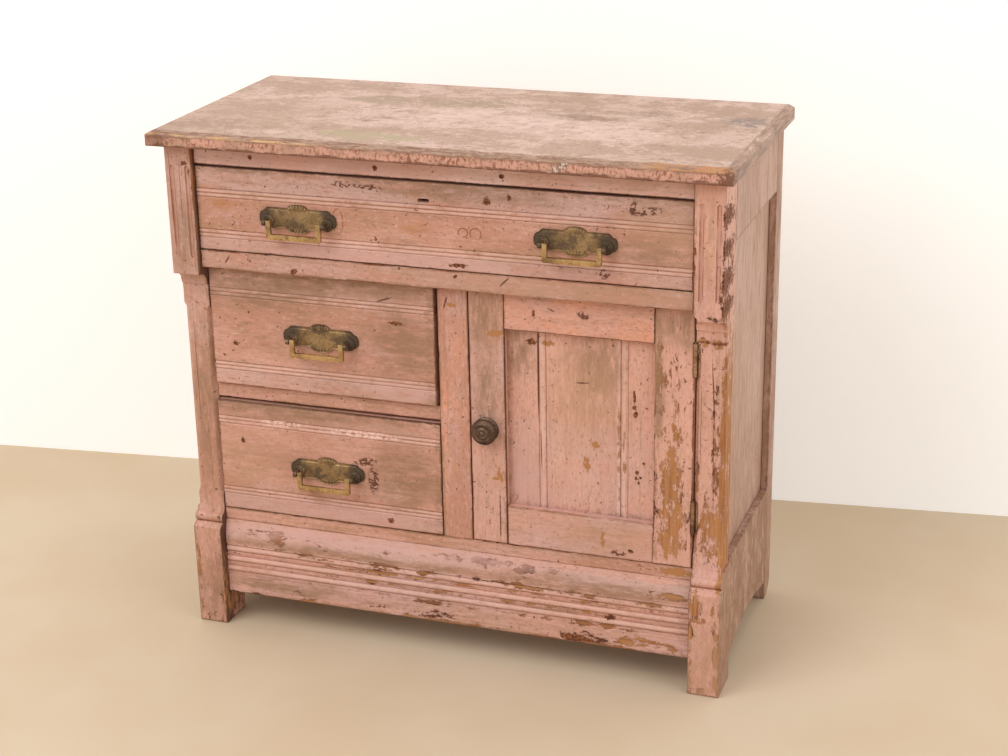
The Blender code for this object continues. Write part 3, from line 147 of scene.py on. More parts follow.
class Graph:
    """A material's node tree; every value may be a number, a colour or another node's socket."""

    def __init__(self, name, shift=0.0, node=None):
        self.material = bpy.data.materials.new(name)
        self.material.use_nodes = True
        self.tree = self.material.node_tree
        self.shader = self.tree.nodes["Principled BSDF"]
        self.place = self.add("ShaderNodeTexCoord").outputs["Object"]
        self.shifted = self.vector("ADD", self.place, (shift, shift * 0.7, shift * 1.3))
        self.x, self.y, self.z = self.add("ShaderNodeSeparateXYZ", Vector=self.place).outputs[:3]
        self.node = node
        if node:
            self.low, self.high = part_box(node)

    def put(self, socket, value):
        if isinstance(value, bpy.types.NodeSocket):
            self.tree.links.new(value, socket)
        elif socket.type == "RGBA" and len(value) == 3:
            socket.default_value = (*value, 1)
        else:
            socket.default_value = value

    def add(self, kind, **inputs):
        node = self.tree.nodes.new(kind)
        for name, value in inputs.items():
            self.put(node.inputs[name.replace("_", " ")], value)
        return node

    def math(self, operation, *values, clamp=False):
        node = self.add("ShaderNodeMath")
        node.operation = operation
        node.use_clamp = clamp
        for socket, value in zip(node.inputs, values):
            self.put(socket, value)
        return node.outputs[0]

    def minus(self, value, other, clamp=False):
        return self.math("SUBTRACT", value, other, clamp=clamp)

    def gap(self, value, other):
        return self.math("ABSOLUTE", self.minus(value, other))

    def scaled(self, value, factor, offset):
        return self.math("MULTIPLY_ADD", value, factor, offset)

    def vector(self, operation, *values):
        node = self.add("ShaderNodeVectorMath")
        node.operation = operation
        for socket, value in zip(node.inputs, values):
            self.put(socket, value)
        return node.outputs["Value" if operation == "LENGTH" else "Vector"]

    def noise(self, scale, detail=3, rough=0.6, stretch=(1, 1, 1), warp=0.0):
        place = self.vector("MULTIPLY", self.shifted, stretch)
        node = self.add(
            "ShaderNodeTexNoise", Vector=place, Scale=scale, Detail=detail, Roughness=rough, Distortion=warp
        )
        return node.outputs["Fac"]

    def band(self, value, low, high):
        """0 at low and 1 at high, smooth between; low may be the larger one."""
        node = self.add("ShaderNodeMapRange", Value=value)
        node.interpolation_type = "SMOOTHSTEP"
        self.put(node.inputs["From Min"], low)
        self.put(node.inputs["From Max"], high)
        return node.outputs["Result"]

    def cloud(self, low, high, *settings):
        """Noise that goes from 0 at one of its levels to 1 at another."""
        return self.band(self.noise(*settings), low, high)

    def mix(self, share, low, high):
        node = self.add("ShaderNodeMix")
        node.data_type = "RGBA"
        self.put(node.inputs[0], share)
        self.put(node.inputs[6], low)
        self.put(node.inputs[7], high)
        return node.outputs[2]

    def times(self, *values):
        result = values[0]
        for value in values[1:]:
            result = self.math("MULTIPLY", result, value, clamp=True)
        return result

    def most(self, *values):
        result = values[0]
        for value in values[1:]:
            result = self.math("MAXIMUM", result, value)
        return result

    def coat(self, tint, *shares):
        """Lay a tint over the colour so far, as thickly as the product of the shares."""
        self.color = self.mix(self.times(*shares), self.color, tint)

    def edge_distance(self):
        """Distance to a box's nearest arris: the middle one of the distances to its three face pairs."""
        gaps = []
        for part, small, large in zip((self.x, self.y, self.z), self.low, self.high):
            below = self.gap(part, small)
            above = self.gap(large, part)
            gaps.append(self.math("MINIMUM", below, above))
        first, second, third = gaps
        lesser = self.math("MINIMUM", first, second)
        greater = self.math("MAXIMUM", first, second)
        return self.math("MAXIMUM", lesser, self.math("MINIMUM", greater, third))

    def spot(self, centre, reach, turn=0.0, ragged=0.35, soft=0.15, scale=120):
        """An uneven patch about a point: reach is half its size on each axis, turned about Y in degrees."""
        offset = self.vector("SUBTRACT", self.place, centre)
        if turn:
            node = self.add("ShaderNodeVectorRotate", Vector=offset)
            node.rotation_type = "Y_AXIS"
            node.inputs["Angle"].default_value = math.radians(turn)
            offset = node.outputs["Vector"]
        scaled = self.vector("DIVIDE", offset, reach)
        away = self.vector("LENGTH", scaled)
        rough = self.scaled(self.noise(scale, 6, 0.72), 2 * ragged, -ragged)
        return self.band(self.math("ADD", away, rough), 1 + soft, 1 - soft)

    def finish(self, roughness, height, depth=0.0004, strength=0.7, sheen=0.25):
        self.put(self.shader.inputs["Base Color"], self.color)
        self.put(self.shader.inputs["Roughness"], roughness)
        self.put(self.shader.inputs["Specular IOR Level"], sheen)
        if height is not None:
            bump = self.add("ShaderNodeBump", Height=height, Distance=depth, Strength=strength)
            self.put(self.shader.inputs["Normal"], bump.outputs["Normal"])
        return self.material


# The thick block of each front post starts here
BLOCK_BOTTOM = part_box("upper_drawer_rail")[0].z - 0.0096

# How far a pattern is drawn out along the grain: fine fibres, and broad patches
GRAIN = {"x": (0.05, 1, 1), "y": (1, 0.05, 1), "z": (1, 1, 0.05)}
DRIFT = {"x": (0.38, 1, 1), "z": (1, 1, 0.38)}

# Marks in a board's paint, by kind: (x, z, half width, half height) in mm, and a turn in degrees
MARKS = {
    "drawer_1_front": {
        "scribble": [(279, 655.5, 18.5, 5.2, 10), (260, 659, 4.5, 8.5, -15), (222.1, 570.8, 9, 6),
        (-125, 661.5, 16, 4.5), (-88, 660, 18, 3.5)], "worn": [(29.1, 566.2, 10.5, 3),
        (70.1, 653.8, 4.5, 5), (100, 660, 3, 3.6), (335.6, 577, 1.8, 6), (337, 594, 1.6, 2.4)],
        "ring": [(37, 610, 7, 6.5), (54, 609.5, 8, 8), (-135, 611, 8, 17.5)],
        "amber": [(-300, 622.5, 15, 8), (-28, 610, 15, 10)], "grime": [(285, 605, 40, 20),
        (30, 660, 120, 12)], "lavender": [(-50, 567, 260, 10)], "tan": [(300, 640, 50, 30)],
    },
    "drawer_2_front": {
        "scratch": [(-82, 505, 12, 1.2, 20)], "worn": [(-66, 473.7, 11, 2.6), (-302, 423, 4, 3.2)],
        "grime": [(-60, 445, 45, 45), (-270, 495, 90, 20), (-180, 518, 160, 14)],
        "lavender": [(-70, 380, 60, 12)],
    },
    "drawer_3_front": {
        "worn": [(-300, 281, 4, 4.5), (-84, 188, 4.5, 3.5)], "scribble": [(-118, 270, 17, 6, 10),
        (-108, 245, 8, 18)], "grime": [(-65, 255, 50, 38), (-230, 327, 110, 12)],
        "tan": [(-300, 250, 40, 50)], "flecks": [(-120, 310, 50, 5), (-240, 312, 30, 4)],
        "lavender": [(-190, 190, 150, 12)],
    },
    "upper_drawer_rail": {
        "scratch": [(91, 549, 8.5, 1.3, 45), (-297.6, 547.2, 6.5, 1.2, 58)],
        "worn": [(-201.5, 537.5, 5.5, 3.2, 30), (25, 550.5, 3, 2)], "tan": [(180, 544, 150, 13)],
    },
    "top_rail": {
        "worn": [(-255, 688, 3, 3), (-80, 686, 2.8, 4), (90, 687, 3, 3)],
        "lavender": [(-150, 685, 140, 10)],
    },
    "door_panel": {
        "bare": [(139.5, 462.5, 8, 3.2), (203.6, 327.5, 5, 5), (191.4, 300, 4, 9)],
        "worn": [(116.5, 462.8, 6, 4.5), (255, 400, 2, 8.5), (255.7, 386.5, 2.6, 3.6),
        (256.5, 376.5, 3, 4.2), (268, 310.2, 2, 2.2), (259.7, 296.4, 2.2, 2.4), (257.7, 288.3, 1.8, 2.6),
        (263.8, 289.8, 1.8, 2), (261.2, 281.6, 1.6, 2.4)], "grime": [(208, 446, 30, 42),
        (100, 448, 20, 30)], "tan": [(190, 390, 50, 60)], "scratch": [(185.6, 413, 10, 1, 5)],
        "lavender": [(110, 270, 25, 50)], "line": [(125.8, 425, 1.4, 64), (129, 315, 0.7, 30, 1)],
    },
    "door_stile_left": {
        "bare": [(70.9, 473, 11, 4.2), (74.5, 276, 3.2, 11.5, 20), (69, 269, 7, 2)],
        "scratch": [(74.2, 213, 1, 34)], "grime": [(58, 490, 20, 40), (60, 390, 16, 50)],
    },
    "door_stile_right": {
        "grime": [(318, 505, 20, 26), (290, 430, 6, 70)], "bare": [(306, 333, 3, 14, 6)],
    },
    "door_bottom_rail": {
        "bare": [(216.2, 203.3, 2.2, 12)], "worn": [(254.1, 188.4, 3.4, 2.6)],
        "scribble": [(237, 184, 10, 4)], "tan": [(220, 200, 60, 25)],
    },
    "door_top_rail": {
        "scribble": [(191.1, 508.5, 9.5, 4.5, -20)], "scratch": [(148, 512, 5, 1, -20)],
        "worn": [(124, 506, 2.2, 5)],
    },
    "centre_stile": {
        "scratch": [(3.5, 508, 1.4, 8.5, -16)], "bare": [(11, 506, 6, 2.6)],
    },
    "base_rail": {
        "bare": [(314, 166.5, 22, 5)],
    },
    "plinth_board": {
        # The lavender band at 148 mm is a painted sheen on the plinth's upward-facing slope
        "worn": [(179, 54, 22, 5, -4), (228, 90, 7, 3.6)], "lavender": [(-100, 148, 280, 10)],
        "grime": [(200, 130, 120, 12), (-250, 65, 100, 12), (-150, 128, 200, 6)],
        "pale": [(-312, 56, 8, 4)],
    },
    "front_post_right": {
        "worn": [(350, 489, 10, 2.6), (367, 488, 12, 3), (375.5, 655, 2.2, 14), (375.8, 615, 1.8, 12),
        (375.5, 575, 2.2, 16), (376, 540, 2, 10), (338.4, 612, 2.2, 5), (338.4, 590, 1.8, 6)],
        "scratch": [(361, 415, 0.9, 60, 3)], "tan": [(358, 615, 5, 65), (360, 40, 24, 50)],
        # The pale patch at 510 mm is painted light, lifting the collar under the block out of its shade
        "pale": [(360, 510, 24, 10), (360, 685, 20, 6)], "line": [(340.8, 365, 0.5, 90),
        (345.2, 375, 0.4, 70), (362, 330, 0.6, 80, 1)],
    },
    "front_post_left": {
        "grime": [(-356, 570, 16, 50), (-355, 330, 20, 120), (-356, 60, 18, 50)],
        "line": [(-370, 635, 0.5, 55), (-356, 630, 0.4, 50), (-364, 380, 0.5, 90)],
        "worn": [(-348, 676, 4, 3), (-343, 665, 2, 4)],
    },
}

# Cooler bands across a board, and on the plinth a painted sheen on its slope: from one share of its height
# to another, and how strongly
COOL_BANDS_AND_SHEEN = {
    "drawer_1_front": ((0.72, 1.0, 0.7), (0.0, 0.17, 0.4)),
    "drawer_2_front": ((0.81, 1.0, 0.45), (0.0, 0.13, 0.5)),
    "drawer_3_front": ((0.85, 1.0, 0.25), (0.0, 0.14, 0.45)),
    "upper_drawer_rail": ((0.0, 1.0, 0.3),),
    "top_rail": ((0.0, 1.0, 0.25),),
    # Painted sheen: a cooler tint on the plinth's upward-facing slope
    "plinth_board": ((0.76, 0.92, 0.6),),
    "front_post_left": ((0.6, 1.0, 0.45),),
    "door_stile_left": ((0.0, 0.8, 0.25),),
    "door_panel": ((0.0, 0.5, 0.3),),
}

# Zones where the paint flakes off the wood: (x, z, half width, half height) in mm, and strength
FLAKED = {
    "door_stile_right": (
        (309, 225, 22, 52, 0.92), (306, 300, 18, 60, 0.86), (306, 370, 20, 50, 0.74),
        (288, 445, 8, 55, 0.8), (305, 430, 20, 40, 0.66), (300, 475, 30, 12, 0.6),
    ),
    "front_post_right": (
        (375.5, 300, 6, 230, 1.0), (365, 330, 7, 130, 0.62), (360, 235, 17, 50, 0.8),
        (340, 260, 5, 80, 0.75), (375.5, 620, 3, 100, 0.5), (345, 135, 11, 20, 1.0),
        (374, 125, 7, 30, 0.95), (356, 110, 20, 5, 0.8), (375.5, 50, 4.5, 70, 0.95),
        (340, 45, 4, 70, 0.85), (358, 8, 30, 5, 0.75), (360, 487, 28, 8, 0.9), (360, 526, 28, 3, 0.4),
    ),
    "front_post_left": (
        (-342, 250, 6, 150, 0.45), (-356, 90, 20, 60, 0.35), (-338, 70, 3.4, 70, 0.75),
        (-375, 70, 3.4, 70, 0.75), (-338, 620, 3, 90, 0.62), (-356, 4, 25, 12, 0.55),
    ),
    "base_rail": ((295, 168, 45, 5, 0.75), (100, 174, 200, 2, 0.3)),
    "plinth_board": (
        (305, 133, 30, 6, 0.8), (264, 60, 30, 10, 0.8), (305, 60, 20, 11, 0.85), (180, 50, 40, 5, 0.6),
        (0, 48, 340, 5, 0.68), (-150, 119, 200, 6, 0.64), (200, 119, 160, 5, 0.7),
        (50, 107.8, 320, 3, 0.74), (50, 92.4, 320, 3, 0.74), (-50, 56, 320, 8, 0.52),
        (50, 76, 320, 4, 0.66), (-260, 138, 90, 12, 0.58), (100, 145, 200, 6, 0.5),
    ),
    "door_panel": ((234.5, 310, 2.6, 90, 0.85), (242, 300, 2.4, 80, 0.8), (195, 300, 20, 50, 0.2)),
    "drawer_1_front": ((0, 560, 340, 3, 0.35), (-291, 650, 24, 5, 0.5)),
}

# Edges of a board darkened beside the gaps between parts, painted shade of the gap with some dirt: left,
# right, bottom or top, and how wide in mm
GAP_SHADE_AND_DIRT_EDGES = {
    "top_rail": {"bottom": 1.1}, "drawer_1_front": {"top": 1.2, "bottom": 0.6, "right": 0.6},
    "drawer_2_front": {"bottom": 0.4}, "drawer_3_front": {"top": 1.4, "bottom": 0.5},
    "front_post_left": {"right": 0.9}, "front_post_right": {"left": 0.6},
    "door_stile_left": {"left": 0.7, "right": 1}, "door_top_rail": {"right": 1, "bottom": 0.8},
    "door_bottom_rail": {"left": 1.2}, "centre_stile": {"left": 0.5},
}

# Edges with a soft band of grime beside them, where a hand or cloth never reached
SOILED_EDGES = {
    "door_stile_left": {"right": 3.5}, "door_stile_right": {"left": 5}, "door_bottom_rail": {"top": 2},
    "door_panel": {"left": 10, "bottom": 9}, "upper_drawer_rail": {"bottom": 3},
    "top_rail": {"top": 2.5}, "drawer_2_front": {"top": 8, "right": 10},
    "drawer_3_front": {"top": 8, "right": 8}, "drawer_1_front": {"top": 6, "left": 4},
    "centre_stile": {"left": 3}, "front_post_left": {"right": 5, "left": 3},
    "front_post_right": {"left": 3}, "base_rail": {"top": 2}, "plinth_board": {"bottom": 4},
}

# How far back from its foremost point a board's face reaches, where that is more than its beads
RECESS = {"plinth_board": 0.03, "front_post_left": 0.026, "front_post_right": 0.026}
FACE_DEPTH = 0.003
RING_WIDTH = 0.0013


def dark_edge(graph, side, width):
    """A band along one edge of a board's face, broken up along its run; width in mm. It carries soiled
    bands of dirt, and painted shade beside gaps.
    """
    low, high, width = graph.low, graph.high, width * MM
    distances = {
        "left": (graph.x, low.x),
        "right": (high.x, graph.x),
        "bottom": (graph.z, low.z),
        "top": (high.z, graph.z),
    }
    ragged = graph.scaled(graph.noise(120, 4, 0.7), 2.4 * width, -1.2 * width)
    band = graph.band(graph.math("ADD", graph.minus(*distances[side]), ragged), width * 1.5, width * 0.7)
    depth = RECESS.get(graph.node, FACE_DEPTH)
    return graph.times(band, graph.band(graph.minus(graph.y, low.y), depth + 0.0015, depth))


def flaked_zone(graph):
    """How readily the paint flakes at a point, from 0 to 1."""
    weight = 0.0
    for x, z, across, up, strength in FLAKED.get(graph.node, ()):
        centre = (x * MM, graph.low.y, z * MM)
        offset = graph.vector("SUBTRACT", graph.place, centre)
        offset = graph.vector("DIVIDE", offset, (across * MM, 1, up * MM))
        inside = graph.band(graph.vector("LENGTH", offset), 1.7, 0.5)
        weight = graph.most(weight, graph.math("MULTIPLY", inside, strength))
    return weight


def lost_paint(graph, edge, wear, drift):
    """Wood laid bare and the rim of the paint round it: loose chips, chipped arrises and flaked zones."""
    field = graph.noise(105, 11, 0.78, drift)
    cluster = graph.noise(13, 4, 0.62)
    near = graph.times(graph.band(edge, 0.0024, 0.0002), graph.band(cluster, 0.38, 0.58))
    lift = graph.math("MULTIPLY", near, 0.17 * wear)
    lift = graph.scaled(graph.band(cluster, 0.42, 0.7), 0.075 * wear, lift)
    lift = graph.scaled(flaked_zone(graph), 0.25, lift)
    above = graph.minus(field, graph.minus(0.735, lift))
    wood = graph.band(above, 0.0, 0.01)
    rim = graph.minus(graph.band(above, -0.024, -0.004), wood, clamp=True)
    return wood, rim


# Soft marks: their colour and strength
SOFT_MARKS = {
    "grime": (GRIME, 0.8),
    "tan": (TAN, 0.7),
    "lavender": (LAVENDER, 0.8),
    "amber": (AMBER, 0.8),
    "pale": (CLEAR_PINK, 0.9),
}


def marks_of(node):
    """A board's marks in metres, the soft ones first: (kind, centre, reach, turn)."""
    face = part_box(node)[0].y
    kinds = MARKS.get(node, {})
    for kind in sorted(kinds, key=lambda name: name not in SOFT_MARKS):
        for x, z, across, up, *turn in kinds[kind]:
            yield kind, (x * MM, face, z * MM), (across * MM, 0.05, up * MM), turn[0] if turn else 0


def paint_marks(graph, bare):
    """Mix a board's own scars into its colour; returns the bared share with theirs."""
    size = graph.high - graph.low
    soft_grain = (0.25, 1, 1) if size.x > size.z else (1, 1, 0.25)
    for kind, centre, reach, turn in marks_of(graph.node):
        grit = min(200, 0.9 / min(reach))
        if kind == "bare":
            mask = graph.spot(centre, reach, turn, 2.6, 0.08, grit)
            graph.coat(BARE_WOOD, mask)
            bare = graph.most(bare, mask)
        elif kind == "worn":
            mask = graph.spot(centre, reach, turn, 1.7, 0.12, grit)
            graph.coat(graph.mix(graph.cloud(0.44, 0.56, 240, 3, 0.6), DARK_CHIP, BARE_DARK), mask)
            bare = graph.most(bare, mask)
        elif kind in ("scribble", "flecks"):
            zone = graph.spot(centre, reach, turn, 0.6, 0.3, 90)
            away = graph.gap(graph.noise(160, 3, 0.5, (0.7, 1, 1)), 0.5)
            tint = DARK_CHIP if kind == "scribble" else PALE_PINK
            graph.coat(tint, graph.times(zone, graph.band(away, 0.085, 0.045)), 0.9)
        elif kind in ("scratch", "line"):
            ragged = 0.9 if kind == "scratch" else 0.25
            graph.coat(DARK_CHIP, graph.spot(centre, reach, turn, ragged, 0.3, 220), 0.85)
        elif kind == "ring":
            inner = (reach[0] - RING_WIDTH, reach[1], reach[2] - RING_WIDTH)
            outer, hole = (graph.spot(centre, size, turn, 0.12, 0.06, 90) for size in (reach, inner))
            graph.coat(BARE_DARK, graph.minus(outer, hole, clamp=True), graph.cloud(0.42, 0.5, 110, 4, 0.7))
        else:
            tint, amount = SOFT_MARKS[kind]
            zone = graph.spot(centre, reach, turn, 0.9, 0.7, 25)
            graph.coat(tint, zone, graph.cloud(0.3, 0.6, 130, 8, 0.74, soft_grain), amount)
    return bare


def edge_dirt_and_gap_shade(graph, edge, drift):
    """Dirt along the arrises: broken dark lines and soft soiled bands; the named dark edges are painted
    shade beside the gaps between parts, with some dirt.
    """
    broken = graph.cloud(0.43, 0.55, 48, 7, 0.72, drift)
    line = graph.times(graph.band(edge, 0.0026, 0.0006), broken)
    graph.coat(BARE_DARK, line, 0.72)
    gritty = graph.cloud(0.42, 0.56, 150, 8, 0.76, drift)
    for side, width in SOILED_EDGES.get(graph.node, {}).items():
        graph.coat(GRIME, graph.times(dark_edge(graph, side, width), gritty), 0.62)
    # Painted shade beside the gaps between parts, with some dirt
    for side, width in GAP_SHADE_AND_DIRT_EDGES.get(graph.node, {}).items():
        graph.coat(GAP_SHADE_AND_GRIME_TONE, dark_edge(graph, side, width), 0.85)


def cool_wash_and_sheen(graph):
    """Bands of a drawer front or other board where the paint has gone cooler and greyer; on the plinth the
    band is a painted sheen on the slope that faces up.
    """
    low, high = graph.low, graph.high
    cloudy = graph.cloud(0.34, 0.58, 34, 8, 0.72, DRIFT["x"])
    for start, end, strength in COOL_BANDS_AND_SHEEN.get(graph.node, ()):
        bottom = low.z + start * (high.z - low.z)
        top = low.z + end * (high.z - low.z)
        above = graph.band(graph.z, bottom - 0.0015, bottom + 0.0015)
        below = graph.band(graph.z, top + 0.0015, top - 0.0015)
        graph.coat(COOL_PINK, above, below, cloudy, strength)


def painted_flute_shade(graph):
    """Painted shade in the two flutes of a front post's block: darker on their floors, with broken dark
    lines down their walls.
    """
    sunk = graph.minus(graph.y, graph.low.y)
    block = graph.band(graph.z, BLOCK_BOTTOM - 0.0005, BLOCK_BOTTOM + 0.0005)
    inside = graph.times(block, graph.band(sunk, 0.0003, 0.0012), graph.band(sunk, 0.003, 0.0024))
    # Painted shade on the flutes' floors
    graph.coat(DEEP_PINK, inside, 0.35)
    rim = graph.times(block, graph.band(sunk, 0.00005, 0.0003), graph.band(sunk, 0.0018, 0.001))
    broken = graph.cloud(0.4, 0.54, 90, 8, 0.76, (1, 1, 0.2))
    # Painted shade: broken dark lines down the flutes' walls
    graph.coat(BARE_DARK, rim, broken, 0.75)


def washed_flank(graph):
    """The outer side of a front post has the thin beige wash of the ends, brown near the floor."""
    out = graph.math("ABSOLUTE", graph.x)
    reach = max(abs(graph.low.x), abs(graph.high.x))
    flank = graph.band(out, reach - 0.0018, reach - 0.001)
    streak = graph.noise(130, 7, 0.7, (1, 1, 0.12))
    wash = graph.mix(graph.band(streak, 0.48, 0.62), SIDE_BEIGE, SIDE_BROWN)
    gritty = graph.cloud(0.44, 0.58, 130, 8, 0.74, (1, 1, 0.35))
    low_zone = graph.band(graph.z, 0.36, 0.1)
    wash = graph.mix(graph.times(gritty, graph.most(low_zone, 0.25)), wash, SIDE_BROWN)
    wash = graph.mix(graph.times(graph.band(graph.z, 0.17, 0.06), 0.55), wash, SIDE_BROWN)
    graph.coat(wash, flank, 0.94)


def front_paint(node, grain, shift, base, second, tan, grime, wear):
    """Worn paint: blotches, tan and brown grime with gritty edges, specks, chips and marks."""
    graph = Graph(node + "_paint", shift, node)
    edge = graph.edge_distance()
    drift = DRIFT[grain]
    graph.color = graph.mix(graph.cloud(0.38, 0.58, 12, 7, 0.66, drift), base, second)
    graph.coat(LAVENDER, graph.cloud(0.53, 0.66, 19, 6, 0.66, drift, 0.5), 0.55)
    fibre = graph.noise(260, 5, 0.66, GRAIN[grain])
    streaky = graph.band(fibre, 0.34, 0.56)
    patch = graph.noise(17, 10, 0.74, drift)
    graph.coat(TAN, graph.band(patch, 0.42, 0.64), streaky, tan)
    graph.coat(GRIME, graph.cloud(0.51, 0.68, 40, 9, 0.78, drift), streaky, grime)
    # Cooler bands, and on the plinth a painted sheen on its slope
    cool_wash_and_sheen(graph)
    graph.coat(GRIME, graph.band(fibre, 0.52, 0.68), 0.28)
    speck = graph.noise(330, 4, 0.7, drift)
    graph.coat(PALE_PINK, graph.band(speck, 0.56, 0.66), 0.34)
    graph.coat(GRIME, graph.band(speck, 0.45, 0.33), 0.52)
    graph.coat(DARK_CHIP, graph.cloud(0.65, 0.675, 190, 4, 0.6, (1, 1, 1), 0.4), 0.9, min(1.0, wear))
    # Beads get painted highlights on their tops and painted shade in their quirks
    if node in BEADS:
        bead_highlight_and_shade(graph, *BEADS[node])
    # Dirt along the arrises, and painted shade beside the gaps between parts
    edge_dirt_and_gap_shade(graph, edge, drift)
    wood, rim = lost_paint(graph, edge, wear, drift)
    graph.coat(GRIME, rim, 0.4)
    dark = graph.mix(graph.cloud(0.46, 0.58, 28, 4, 0.6), DARK_CHIP, BARE_DARK)
    grainy = graph.mix(graph.times(graph.band(fibre, 0.48, 0.62), 0.6), BARE_WOOD, BARE_DARK)
    grainy = graph.mix(graph.times(graph.band(fibre, 0.45, 0.36), 0.6), grainy, BARE_PALE)
    graph.coat(graph.mix(graph.band(flaked_zone(graph), 0.5, 0.78), dark, grainy), wood)
    wood = paint_marks(graph, wood)
    if node.startswith("front_post"):
        # Painted shade in the flutes of the post's block
        painted_flute_shade(graph)
        washed_flank(graph)
    height = graph.scaled(wood, -1.0, graph.scaled(fibre, -0.3, graph.math("MULTIPLY", speck, 0.45)))
    roughness = graph.scaled(wood, 0.2, graph.scaled(patch, 0.25, 0.34))
    return graph.finish(roughness, height, sheen=0.18)


def bead_highlight_and_shade(graph, along, depth, half, centres):
    """Painted highlights along the beads' tops, and painted shade in their quirks."""
    sunk = graph.minus(graph.y, graph.low.y)
    part = graph.x if along == "x" else graph.z
    zone = 0.0
    for centre in centres:
        if graph.node.startswith("drawer"):
            centre = graph.low.z + centre * (graph.high.z - graph.low.z)
        zone = graph.most(zone, graph.band(graph.gap(part, centre), half + 0.001, half))
    # Painted highlight: the beads' tops are coloured pale where light would catch them
    crest_highlight = graph.times(zone, graph.band(sunk, depth * 0.35, 0.0), graph.cloud(0.3, 0.56, 30, 5, 0.7))
    graph.coat(PALE_PINK, crest_highlight, 0.5)
    # Painted shade: the quirks beside each bead are darkened by their depth
    graph.coat(BARE_DARK, zone, graph.band(sunk, depth * 0.4, depth * 0.95), 0.65)


def side_paint(node, shift, brown=0.0, pink=0.2):
    """Thin wash on the ends: upright streaks, flecks of brown, darker towards the floor and at arrises."""
    graph = Graph(node + "_wash", shift, node)
    edge = graph.edge_distance()
    broad = graph.noise(9, 7, 0.66, (1, 1, 0.4))
    graph.color = graph.mix(graph.band(broad, 0.38, 0.6), SIDE_PALE, SIDE_BEIGE)
    graph.coat(SIDE_PINK, graph.cloud(0.46, 0.62, 15, 6, 0.66, (1, 1, 0.5)), pink * 2)
    streak = graph.noise(120, 8, 0.74, (1, 1, 0.12))
    graph.coat(SIDE_BROWN, graph.band(streak, 0.49, 0.62), 0.6)
    fine = graph.noise(380, 5, 0.68, (1, 1, 0.12))
    graph.coat(SIDE_BROWN, graph.band(fine, 0.5, 0.64), 0.42)
    graph.coat(TOP_PALE, graph.band(fine, 0.46, 0.34), 0.3)
    graph.coat(SIDE_DARK, graph.cloud(0.655, 0.685, 110, 6, 0.7, (1, 1, 0.18)), 0.8)
    amount = graph.most(graph.times(graph.band(graph.z, 0.36, 0.1), 0.75), brown)
    graph.coat(SIDE_BROWN, amount, graph.cloud(0.4, 0.56, 45, 10, 0.78, (1, 1, 0.4)))
    graph.coat(SIDE_DARK, amount, graph.cloud(0.54, 0.62, 160, 8, 0.78, (1, 1, 0.35)), 0.85)
    graph.coat(SIDE_DARK, graph.band(edge, 0.005, 0.0), graph.cloud(0.38, 0.56, 60, 8, 0.75), 0.65)
    wood, _ = lost_paint(graph, edge, 0.8, (1, 1, 0.38))
    graph.coat(DARK_CHIP, wood, 0.8)
    height = graph.scaled(wood, -0.8, graph.scaled(fine, -0.35, graph.math("MULTIPLY", streak, -0.5)))
    return graph.finish(graph.scaled(broad, 0.2, 0.46), height)


# Stains on the top: x, y, half width and half depth in mm, colour, strength
TOP_STAINS = (
    (352, 62, 32, 26, STAIN_DARK, 0.9), (300, 115, 70, 30, TOP_TAN, 0.9),
    (300, 35, 40, 30, TOP_TAN, 0.8), (-120, 68, 130, 26, STAIN_BROWN, 0.95),
    (-10, 88, 60, 20, STAIN_BROWN, 0.9), (-100, -138, 55, 22, STAIN_OLIVE, 0.85),
    (135, 32, 55, 14, TOP_BROWN, 0.85), (190, 75, 60, 12, TOP_BROWN, 0.55),
    (-300, -40, 110, 80, TOP_TAN, 0.5), (-250, 130, 100, 30, TOP_TAN, 0.8),
    (-340, -120, 60, 30, TOP_BROWN, 0.45), (60, 135, 110, 22, TOP_TAN, 0.8),
    (340, -110, 60, 40, TOP_TAN, 0.8), (20, -90, 130, 20, TOP_TAN, 0.75),
    (180, -40, 60, 50, TOP_PALE, 0.7), (-10, 0, 110, 40, TOP_PALE, 0.6),
)


